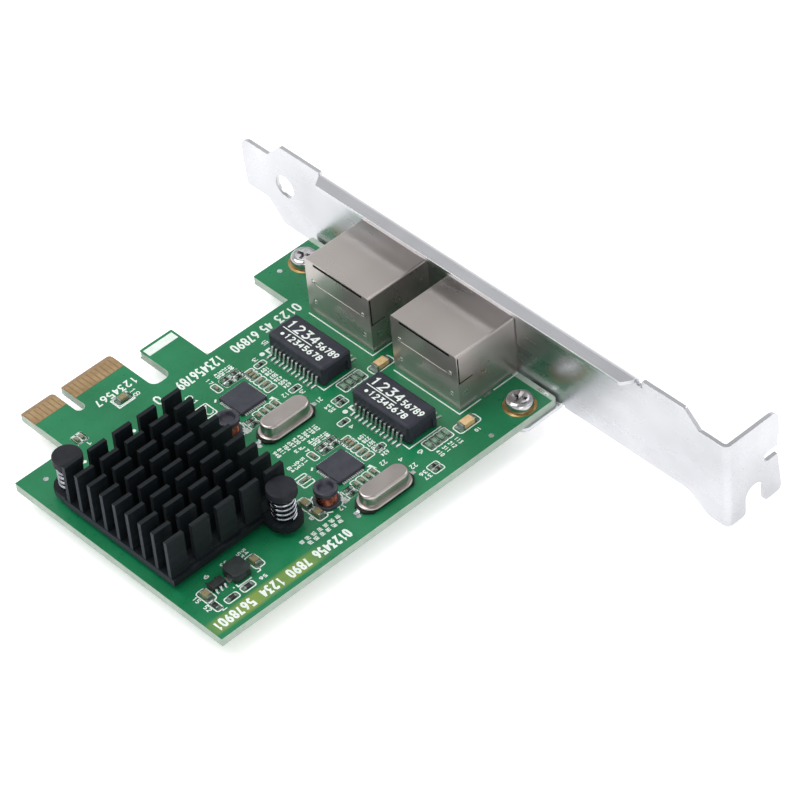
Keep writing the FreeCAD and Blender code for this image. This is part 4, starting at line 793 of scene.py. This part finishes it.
# Strokes of each digit in a cell of 2 by 4 units
DIGITS = {
    "0": [[(0, 0.8), (0, 3.2), (0.6, 4), (1.4, 4), (2, 3.2), (2, 0.8), (1.4, 0), (0.6, 0),
           (0, 0.8)]],
    "1": [[(0.3, 3.2), (1, 4), (1, 0)]],
    "2": [[(0, 3.2), (0.5, 4), (1.5, 4), (2, 3.4), (2, 2.7), (0.1, 0), (2, 0)]],
    "3": [[(0, 4), (1.9, 4), (0.9, 2.4), (1.6, 2.2), (2, 1.5), (2, 0.7), (1.3, 0), (0.6, 0),
           (0, 0.5)]],
    "4": [[(1.5, 4), (0, 1.3), (2, 1.3)], [(1.5, 0), (1.5, 4)]],
    "5": [[(2, 4), (0, 4), (0, 2.3), (1.4, 2.3), (2, 1.2), (1.2, 0), (0, 0.3)]],
    "6": [[(0, 1.5), (0.6, 2.2), (1.4, 2.2), (2, 1.5), (2, 0.7), (1.4, 0), (0.6, 0), (0, 0.7),
           (0, 1.5)],
          [(1.6, 4), (0.5, 2.8), (0, 1.5)]],
    "7": [[(0, 4), (2, 4), (0.8, 0)]],
    "8": [[(0.6, 2.1), (0.1, 2.7), (0.1, 3.5), (0.6, 4), (1.4, 4), (1.9, 3.5), (1.9, 2.7),
           (1.4, 2.1)],
          [(0.6, 2.1), (0, 1.5), (0, 0.6), (0.6, 0), (1.4, 0), (2, 0.6), (2, 1.5), (1.4, 2.1),
           (0.6, 2.1)]],
    "9": [[(0, 2.5), (0, 3.3), (0.6, 4), (1.4, 4), (2, 3.3), (2, 2.5), (1.4, 1.8), (0.6, 1.8),
           (0, 2.5)],
          [(0.4, 0), (1.5, 1.2), (2, 2.5)]],
}
DIGIT_SHARE, STROKE_LIFT = 0.72, 0.005
LINE, FINE, SMALL, MIDDLE, BOLD = 0.24, 0.17, 0.27, 0.36, 0.42


class Marks(Body):
    """Collects thin flat marks, in millimetres, into one mesh."""

    def __init__(self, name, slot, low, high, material=None):
        super().__init__()
        self.name, self.slot, self.material = name, slot, MATERIALS[material or slot]
        self.low, self.high = low, high

    def slab(self, outline):
        """Plate from an outline that turns anticlockwise."""
        self.prism(outline, self.low, self.high)

    def box(self, x, y, width, height):
        w, h = width / 2, height / 2
        self.slab(rectangle(x - w, y - h, x + w, y + h))

    def dot(self, x, y, radius, sides=12):
        self.slab(arc(x, y, radius, 0, 360, sides)[:-1])

    def line(self, points, width=LINE, closed=False, lift=0.0):
        """Stroke of even width along points, with mitred corners.

        A small lift keeps strokes that cross apart.
        """
        if points[0] == points[-1]:
            points, closed = points[:-1], True
        count, low, high = len(points), self.low + lift, self.high + lift
        sections = []
        for i, here in enumerate(map(Vector, points)):
            turns = []
            if i > 0 or closed:
                turns.append((here - Vector(points[i - 1])).normalized())
            if i < count - 1 or closed:
                turns.append((Vector(points[(i + 1) % count]) - here).normalized())
            sides = [Vector((-t.y, t.x)) for t in turns]
            across = sum(sides, Vector((0, 0)))
            across = across.normalized() if across.length > 1e-6 else sides[0]
            reach = width / 2 / max(across.dot(sides[0]), 0.5)
            left, right = here + across * reach, here - across * reach
            sections.append([(*right, high), (*right, low), (*left, low), (*left, high)])
        self.rings(sections, closed)

    def frame(self, x0, y0, x1, y1, width=LINE, cut=0.0):
        """Outline of a rectangle, with rounded corners if cut is given."""
        ring = [] if cut else rectangle(x0, y0, x1, y1)
        if cut:
            for cx, cy, start in ((x1 - cut, y0 + cut, -90), (x1 - cut, y1 - cut, 0),
                                  (x0 + cut, y1 - cut, 90), (x0 + cut, y0 + cut, 180)):
                ring += arc(cx, cy, cut, start, start + 90, 3)
        self.line(ring, width, closed=True)

    def ring(self, x, y, radius, width=LINE, start=0.0, end=360.0, sides=24):
        whole = end - start >= 360
        points = arc(x, y, radius, start, end, sides)
        self.line(points[:-1] if whole else points, width, whole)

    def digits(self, text, x, y, height, length, turn=0.0, weight=FINE):
        """Row of plain digits from x, y that fills length and reads along turn, in degrees."""
        c, s = math.cos(math.radians(turn)), math.sin(math.radians(turn))
        cell = length / len(text)
        wide, tall = (cell * DIGIT_SHARE - weight / 2) / 2, (height - weight) / 4
        for i, sign in enumerate(text):
            for number, stroke in enumerate(DIGITS[sign]):
                flat = [(i * cell + weight / 2 + a * wide, weight / 2 + b * tall)
                        for a, b in stroke]
                self.line(turned(flat, x, y, c, s), weight, lift=STROKE_LIFT * number)

    def label(self, text, x0, y0, x1, y1, weight=FINE):
        """Digits in a box: down the card where the box is tall, or along it."""
        if y1 - y0 > x1 - x0 or len(text) == 1:
            self.digits(text, x0, y1, x1 - x0, y1 - y0, -90, weight)
        else:
            self.digits(text, x0, y0, y1 - y0, x1 - x0, 0, weight)

    def build(self):
        show(self.name, mesh_from(self.name, self.points, self.faces, self.material))


def arc(x, y, radius, start, end, steps=6):
    """Points of an arc, from start to end in degrees."""
    made = []
    for i in range(steps + 1):
        a = math.radians(start + (end - start) * i / steps)
        made.append((x + radius * math.cos(a), y + radius * math.sin(a)))
    return made


def mask_sheet(name, outline, low, high):
    """Thin sheet of lacquer, from an outline in millimetres."""
    curve = bpy.data.curves.new(name, "CURVE")
    curve.dimensions = "2D"
    curve.fill_mode = "BOTH"
    curve.extrude = (high - low) / 2 * MM
    spline = curve.splines.new("POLY")
    spline.points.add(len(outline) - 1)
    for point, (x, y) in zip(spline.points, outline):
        point.co = (x * MM, y * MM, 0.0, 1.0)
    spline.use_cyclic_u = True
    holder = bpy.data.objects.new(name + "_curve", curve)
    bpy.context.scene.collection.objects.link(holder)
    bpy.context.view_layer.update()
    mesh = bpy.data.meshes.new_from_object(holder)
    bpy.data.objects.remove(holder)
    mesh.transform(Matrix.Translation((0, 0, (low + high) / 2 * MM)))
    mesh.materials.clear()
    mesh.materials.append(MATERIALS["mask"])
    show(name, mesh)


# How far the lacquer stays inside the board, and its edge on the tongue
INSET, MASK_TONGUE_EDGE = 0.07, 4.35
# Edges of the board: right, rear, and the left edge from the tongue to the front corner
RIGHT, REAR, FRONT = 66.15, -19.75, 56.1
REAR_LEFT, TONGUE_REAR, TONGUE_FRONT = 12.78, -8.15, 12.15
KEY_END, KEY_HALF = 6.5, 0.95
RELIEF_X, RELIEF_LOW, RELIEF_HIGH, RELIEF_RADIUS = 10.75, 13.65, 14.74, 1.5
HOOK_LEFT, HOOK_REAR, HOOK_FRONT, HOOK_START = 3.41, 16.24, 23.83, 10.6
RECESS_LEFT, CORNER_LEFT, CORNER_REAR = 13.11, 3.89, 42.78


def mask_outline():
    """Outline of the lacquer, a little inside the outline of the board."""
    g = INSET
    key = KEY_HALF + g
    points = [(REAR_LEFT + g, REAR + g), (RIGHT - g, REAR + g), (RIGHT - g, FRONT),
              (CORNER_LEFT + g, FRONT), (CORNER_LEFT + g, CORNER_REAR + g),
              (RECESS_LEFT + g, CORNER_REAR + g), (RECESS_LEFT + g, HOOK_FRONT - g),
              (HOOK_LEFT + g, HOOK_FRONT - g), (HOOK_LEFT + g, HOOK_REAR + g),
              (HOOK_START, HOOK_REAR + g)]
    points += arc(RELIEF_X, RELIEF_HIGH, RELIEF_RADIUS + g, 90, 0, 5)
    points += arc(RELIEF_X, RELIEF_LOW, RELIEF_RADIUS + g, 0, -90, 5)
    points += [(MASK_TONGUE_EDGE, TONGUE_FRONT - g), (MASK_TONGUE_EDGE, key), (KEY_END, key)]
    points += arc(KEY_END, 0, key, 90, -90, 8)[1:-1]
    points += [(KEY_END, -key), (MASK_TONGUE_EDGE, -key), (MASK_TONGUE_EDGE, TONGUE_REAR + g),
               (REAR_LEFT + g, TONGUE_REAR + g)]
    return points


mask_sheet("mask_top", mask_outline(), TOP, MASK_TOP)
mask_sheet("mask_under", mask_outline(), -MASK, 0.0)

ink = Marks("legend_top", "board", MASK_TOP, INK_TOP, "ink")
pads = Marks("pads_top", "tin", MASK_TOP, PAD_TOP)
dull = Marks("pads_dull", "tin", MASK_TOP, PAD_TOP, "dull_tin")

# Legend of the jacks and transformers
for left in JACK_LEFTS:
    ink.line([(left + 16.9, 57.0), (left + 16.9, 51.2)])
    ink.line([(left + 16.9, 48.2), (left + 16.9, 43.1), (left + 0.4, 43.1)])
LEADS_A_ROW, LEAD_PITCH = 12, 1.04
for x in TRANSFORMER_XS:
    ink.line([(x - 6.1, 31.45), (x - 7.35, 31.45), (x - 7.35, 32.3)], BOLD)
    ink.line([(x + 5.8, 31.45), (x + 7.65, 31.45), (x + 7.65, 38.9)])
    ink.dot(x - 7.15, 30.3, 0.5)
    for i in range(LEADS_A_ROW):
        for y in (30.75, 40.0):
            dull.box(x + (i - (LEADS_A_ROW - 1) / 2) * LEAD_PITCH, y, 0.46, 1.5)

TRANSFORMER_TOP, MARKING = 5.77, 0.02
marking = Marks("transformer_marking", "transformer_case", TRANSFORMER_TOP,
                TRANSFORMER_TOP + MARKING, "ink")
for x in TRANSFORMER_XS:
    marking.digits("1234", x - 6.1, 35.15, 2.15, 7.9, weight=MIDDLE)
    marking.digits("56789", x + 1.75, 35.1, 1.5, 5.15, weight=SMALL)
    marking.line([(x - 6.1, 34.85), (x + 1.3, 34.85)], 0.2)
    marking.dot(x - 4.85, 33.55, 0.36)
    marking.digits("12345678", x - 4.1, 32.95, 1.4, 9.3, weight=SMALL)

# Small parts: places repeat those of the solids
ACROSS, ALONG = True, False
PARTS = {
    "tiny": [(12.6, -5.6, ALONG), (12.6, -4.6, ALONG), (48.9, 14.3, ACROSS)],
    "small": [(60.35, -12.3, ACROSS), (60.35, -8.8, ACROSS), (59.7, -15.4, ALONG)],
    "medium": [(10.75, 6.35, ACROSS), (56.9, -14.95, ALONG), (56.9, -4.2, ALONG),
               (53.35, 10.45, ALONG), (56.45, 10.45, ALONG)],
    "large": [(37.7, 42.5, ACROSS), (59.35, 42.35, ACROSS)],
}
AROUND = [(-5.6, -1.2, ALONG)] + [(x, 5.2, ACROSS) for x in (-4.4, -3.6, -2.8, -1.45, -0.1, 1.25)]
AROUND += [(4.9, y, ALONG) for y in (-0.85, 0.5, 1.85, 3.2)]
AROUND += [(x, y, ACROSS) for y in (1.35, 3.35) for x in (-6.1, -5.05)]
AROUND += [(x, -2.65, ACROSS) for x in (4.9, 5.85)]
for cx in CONTROLLER_XS:
    PARTS["tiny"] += [(cx + x, CONTROLLER_Y + y, turn) for x, y, turn in AROUND]
for x in TRANSFORMER_XS:
    PARTS["tiny"] += [(x + side, 28.35, ACROSS) for side in (-5.45, 3.6)]
PARTS["tiny"] += [(x, y, ACROSS) for x, y in ((38.55, 31.45), (39.7, 31.45), (62.5, 31.4),
                                              (63.65, 31.4))]
PARTS["small"] += [(x, 34.3 + 1.35 * i, ALONG) for x in (36.955, 58.405) for i in range(4)]

# Outline length and width, stroke, corner, then pad place, length and width of each size
KINDS = {
    "tiny": (2.35, 1.25, 0.2, 0.35, 0.5, 0.6, 0.68),
    "small": (2.75, 1.4, 0.22, 0.4, 0.78, 0.7, 0.85),
    "medium": (3.3, 2.1, 0.22, 0.5, 1.0, 0.8, 1.4),
    "large": (5.0, 2.3, 0.24, 0.6, 1.55, 1.1, 1.75),
}
for kind, places in PARTS.items():
    length, width, stroke, corner, pad_place, pad_length, pad_width = KINDS[kind]
    for x, y, across in places:
        w, h = (width, length) if across else (length, width)
        ink.frame(x - w / 2, y - h / 2, x + w / 2, y + h / 2, stroke, corner)
        for side in (-pad_place, pad_place):
            if across:
                dull.box(x, y + side, pad_width, pad_length)
            else:
                dull.box(x + side, y, pad_length, pad_width)

# Legend of the controllers
for number, cx in enumerate(CONTROLLER_XS):
    ink.slab([(cx - 3.8, 17.1), (cx - 3.3, 16.5), (cx - 3.05, 16.75), (cx - 3.5, 17.3)])
    ink.slab([(cx + 3.0, 24.3), (cx + 3.1, 23.5), (cx + 4.6, 24.6)])
    ink.frame(cx - 6.75, 20.5, cx - 4.4, 24.85, cut=0.25)
    for column in range(6):
        x = cx - 2.95 + column * 1.17
        text = str(column + 1) + "02"[column % 2] + str(9 - column)
        ink.label(text, x - 0.45, 27.1, x + 0.45, 28.8)
    for row in range(4):
        ink.label("%d%d%d" % (row + 1, row, 8 - row), cx - 8.6, 23.85 - row, cx - 7.1, 24.7 - row)
    ink.label("17", cx - 8.6, 18.9, cx - 6.95, 19.8)
    ink.label("%d2" % (number + 1), cx + 3.9, 25.4, cx + 4.95, 26.8)
    for x, y0, y1 in ((20.4, 27.7, 29.0), (32.5, 27.9, 29.2)):
        x += cx - CONTROLLER_XS[0]
        ink.label("%d" % (number + 3), x - 0.45, y0, x + 0.45, y1)
    ink.frame(cx + 4.3, 15.6, cx + 6.5, 18.8, cut=0.3)
for row in range(4):
    ink.label("%d%d" % (row + 5, row + 1), 44.5, 17.0 - row, 46.3, 17.85 - row)

# Label blocks between the transformers, by the crystals and by the chokes
for x0, x1, top, rows in ((40.0, 41.8, 24.6, 9), (58.95, 59.85, 12.6, 7), (60.05, 60.95, 12.2, 6)):
    for row in range(rows):
        y = top - row * (1.12 if x1 - x0 > 1.5 else 1.35)
        ink.label("%d%d%d" % (row % 9 + 1, (row * 3) % 10, (row * 7 + 2) % 10), x0, y - 0.85, x1, y)
for text, x0, y0, x1, y1 in (
    ("42", 42.3, 20.6, 43.1, 22.3), ("43", 42.3, 17.5, 43.1, 19.3), ("12", 57.8, 13.4, 58.9, 14.9),
    ("8", 56.0, 8.4, 56.9, 9.4), ("21", 35.75, 28.5, 36.75, 29.8), ("22", 59.5, 28.3, 60.6, 29.8),
    ("5", 17.9, 31.6, 18.9, 33.2), ("6", 58.0, 31.4, 59.0, 32.8), ("10", 61.3, 42.0, 62.1, 43.2),
    ("34", 38.2, 28.2, 39.0, 29.8), ("35", 39.3, 28.2, 40.1, 29.8), ("36", 62.1, 28.1, 63.0, 29.8),
    ("37", 63.3, 28.1, 64.2, 29.8), ("53", 53.3, -5.4, 54.9, -4.5), ("54", 53.3, -4.3, 54.9, -3.4),
    ("55", 53.1, -9.0, 54.0, -7.3), ("9", 53.1, -12.9, 54.0, -11.6), ("56", 60.2, -6.5, 61.0, -4.9),
    ("15", 55.7, -17.2, 57.3, -16.2), ("52", 58.5, -17.2, 60.1, -16.2),
    ("7", 60.6, -15.6, 61.5, -14.2), ("18", 9.9, 8.2, 12.2, 9.5), ("1", 14.2, -6.0, 15.2, -4.1),
    ("01", 18.6, 13.5, 21.6, 15.0), ("2", 22.6, 13.3, 25.0, 15.2),
    ("11", 17.6, -11.6, 20.0, -10.5),
):
    ink.label(text, x0, y0, x1, y1)
for row in range(4):
    ink.label("%d%d%d" % (4 - row, 1, row), 60.35, 33.85 + 1.42 * row, 62.1, 34.75 + 1.42 * row)
ink.frame(22.2, 13.0, 25.4, 15.4, cut=0.3)
ink.frame(47.6, 13.0, 50.4, 15.4, cut=0.3)
ink.frame(11.6, -6.2, 13.7, -4.0)
ink.frame(9.6, 4.5, 12.1, 8.0)

# Chokes, heat sink and the power section
for x, y in CHOKES:
    ink.ring(x, y, 2.75, start=200, end=340)
    ink.ring(x, y, 2.75, start=20, end=150)
    pads.box(x - 2.1, y - 2.2, 1.3, 1.1)
    pads.box(x + 2.1, y + 2.2, 1.3, 1.1)
for x, y in ((17.7, -8.2), (18.2, 2.5)):
    ink.dot(x, y, 0.4)
ink.line([(58.6, -9.9), (59.25, -9.9), (59.25, -7.0)], 0.3)
ink.line([(59.1, -5.6), (59.1, -4.9), (58.4, -4.6)])
ink.line([(58.7, -10.6), (59.0, -10.6)])

# Plain digits where the large lines of text are
for text, x0, y0, x1, y1, weight in (
    ("0123456", 62.3, 3.3, 64.5, 11.2, BOLD), ("7890", 62.3, -2.7, 64.5, 2.2, BOLD),
    ("1234", 62.3, -8.7, 64.5, -3.9, BOLD), ("5678901", 62.3, -18.9, 64.5, -10.3, BOLD),
    ("0123", 14.6, 37.6, 16.8, 43.2, MIDDLE), ("45", 14.6, 34.2, 16.8, 36.6, MIDDLE),
    ("67890", 14.6, 27.3, 16.8, 33.4, MIDDLE), ("123456789", 14.4, 14.6, 16.8, 25.0, MIDDLE),
    ("0", 14.4, 9.4, 16.8, 11.0, MIDDLE), ("1234567", 7.5, 2.0, 9.3, 11.3, 0.3),
):
    ink.label(text, x0, y0, x1, y1, weight)
ink.box(5.0, 20.0, 1.85, 6.6)

# Pads of the crystals, sight marks, bare copper at the front edge and below the jacks
for x in CRYSTAL_XS:
    pads.dot(x + 0.75, 14.65, 0.45)
for x, y in ((16.0, -15.4), (6.4, 47.0), (64.5, 43.1)):
    pads.dot(x, y, 0.5, 16)
for x in (62.6, 64.2):
    pads.box(x, 56.65, 1.1, 0.6)
for left in JACK_LEFTS:
    for x in (left - 0.45, left + 16.85):
        dull.box(x, 49.8, 0.6, 1.9)

for marks in (ink, pads, dull, marking):
    marks.build()

GRID = 0.65


def via_places(count, low, high, blocked):
    """Scattered grid places that keep clear of the blocked boxes."""
    made = []
    while len(made) < count:
        x, y = (round(random.uniform(low[i], high[i]) / GRID) * GRID for i in range(2))
        inside = any(a <= x <= c and b <= y <= d for a, b, c, d in blocked)
        if not inside and (x, y) not in made:
            made.append((x, y))
    return made


BLOCKED = [(3.0, -20, 17.2, 57.5), (17.5, 42.5, 57.5, 58), (19.7, 30.0, 35.2, 41),
           (41, 30, 57, 41), (59, 48.6, 66.4, 58), (61.5, -19.6, 65.2, 19.4),
           (53.0, -17.5, 61.8, -3), (17.5, 12.6, 65.0, 33.0), (58.8, 2.6, 61.2, 13.0),
           (35.0, 33.0, 40.5, 45.5), (56.8, 33.0, 62.5, 45.5)]
for name, low, count, reach, blocked in (
    ("vias_top", MASK_TOP, 90, 55.0, BLOCKED),
    ("vias_under", -MASK - 0.03, 220, 44.0, BLOCKED[:1]),
):
    vias = Marks(name, "board", low, low + 0.03, "mask")
    for x, y in via_places(count, (14.0, -18.5), (65.0, reach), blocked):
        vias.ring(x, y, 0.26, 0.16, sides=10)
    vias.build()

ink_under = Marks("legend_under", "board", -MASK - INK, -MASK, "ink")
for x in CONTROLLER_XS:
    ink_under.frame(x - 5.0, 14.0, x + 5.0, 26.0, cut=0.8)
for x, y in PINS:
    ink_under.ring(x, y, 3.2)
ink_under.build()


# Floor, light and camera

FLOOR_GLOW, FLOOR_REACH, FLOOR_DROP = 0.5, 6.0, 0.0004
WORLD_LIGHT, ZENITH = 0.56, 0.42


def stage_material():
    """White floor that keeps the shadow and looks white where nothing shades it."""
    m = Finish("white_floor")
    m.feed(Base_Color=m.clouds(60.0, (236, 236, 236), (240, 240, 240)))
    m.set(Roughness=0.9, Specular_IOR_Level=0.1)
    glow = m.node("ShaderNodeEmission")
    glow.inputs["Color"].default_value = WHITE
    m.link(m.calculate("MULTIPLY", m.shown(), FLOOR_GLOW), glow.inputs["Strength"])
    total = m.node("ShaderNodeAddShader")
    m.link(m.shader.outputs["BSDF"], total.inputs[0])
    m.link(glow.outputs["Emission"], total.inputs[1])
    m.link(total.outputs["Shader"], m.out.inputs["Surface"])
    return m.material


def floor():
    low = CAD_BOX[0][2] - FLOOR_DROP
    corners = rectangle(-FLOOR_REACH, -FLOOR_REACH, FLOOR_REACH, FLOOR_REACH)
    mesh = mesh_from("floor", [(x, y, low) for x, y in corners], [(0, 1, 2, 3)],
                     stage_material(), unit=1.0)
    made = bpy.data.objects.new("floor", mesh)
    bpy.context.scene.collection.objects.link(made)


def world():
    """Plain white surroundings: dimmer as a lamp than as a background or reflection."""
    made = bpy.data.worlds.new("studio")
    bpy.context.scene.world = made
    w = Shading(made, "ShaderNodeOutputWorld")
    lamp, white = w.node("ShaderNodeBackground"), w.node("ShaderNodeBackground")
    mix = w.node("ShaderNodeMixShader")
    lamp.inputs["Color"].default_value = white.inputs["Color"].default_value = WHITE
    lamp.inputs["Strength"].default_value = WORLD_LIGHT
    w.link(w.spread(w.axis("Z", "Generated"), 1.0, ZENITH, 0.35, 0.9), white.inputs["Strength"])
    w.link(w.shown(), mix.inputs["Fac"])
    w.link(lamp.outputs["Background"], mix.inputs[1])
    w.link(white.outputs["Background"], mix.inputs[2])
    w.link(mix.outputs["Shader"], w.out.inputs["Surface"])


CENTRE = (0.045, 0.025, 0.0)
CAMERA_PLACE = (0.442457, -0.285214, 0.485653)
CAMERA_RIGHT = (0.684093, 0.725634, -0.073971)
CAMERA_UP = (-0.464765, 0.511812, 0.722524)
CAMERA_BACK = (0.562148, -0.459895, 0.687377)
SENSOR, LENS = 36.0, 184.48


def softbox(name, place, size, power):
    """Square lamp that looks at the centre of the card."""
    lamp = bpy.data.lights.new(name, "AREA")
    lamp.shape = "SQUARE"
    lamp.size = size
    lamp.energy = power
    made = bpy.data.objects.new(name, lamp)
    made.location = place
    made.rotation_mode = "QUATERNION"
    made.rotation_quaternion = (Vector(CENTRE) - Vector(place)).to_track_quat("-Z", "Y")
    bpy.context.scene.collection.objects.link(made)


def camera():
    data = bpy.data.cameras.new("camera")
    data.sensor_width = SENSOR
    data.lens = LENS
    made = bpy.data.objects.new("camera", data)
    turn = Matrix((CAMERA_RIGHT, CAMERA_UP, CAMERA_BACK)).transposed()
    made.matrix_world = Matrix.Translation(CAMERA_PLACE) @ turn.to_4x4()
    bpy.context.scene.collection.objects.link(made)
    bpy.context.scene.camera = made


floor()
world()
softbox("key", (-0.35, -0.25, 0.9), 0.7, 5.5)
softbox("fill", (0.9, -0.5, 0.5), 0.6, 1.6)
softbox("back", (0.3, 0.9, 0.7), 0.7, 3.0)
camera()

bpy.context.scene.view_settings.view_transform = "Standard"
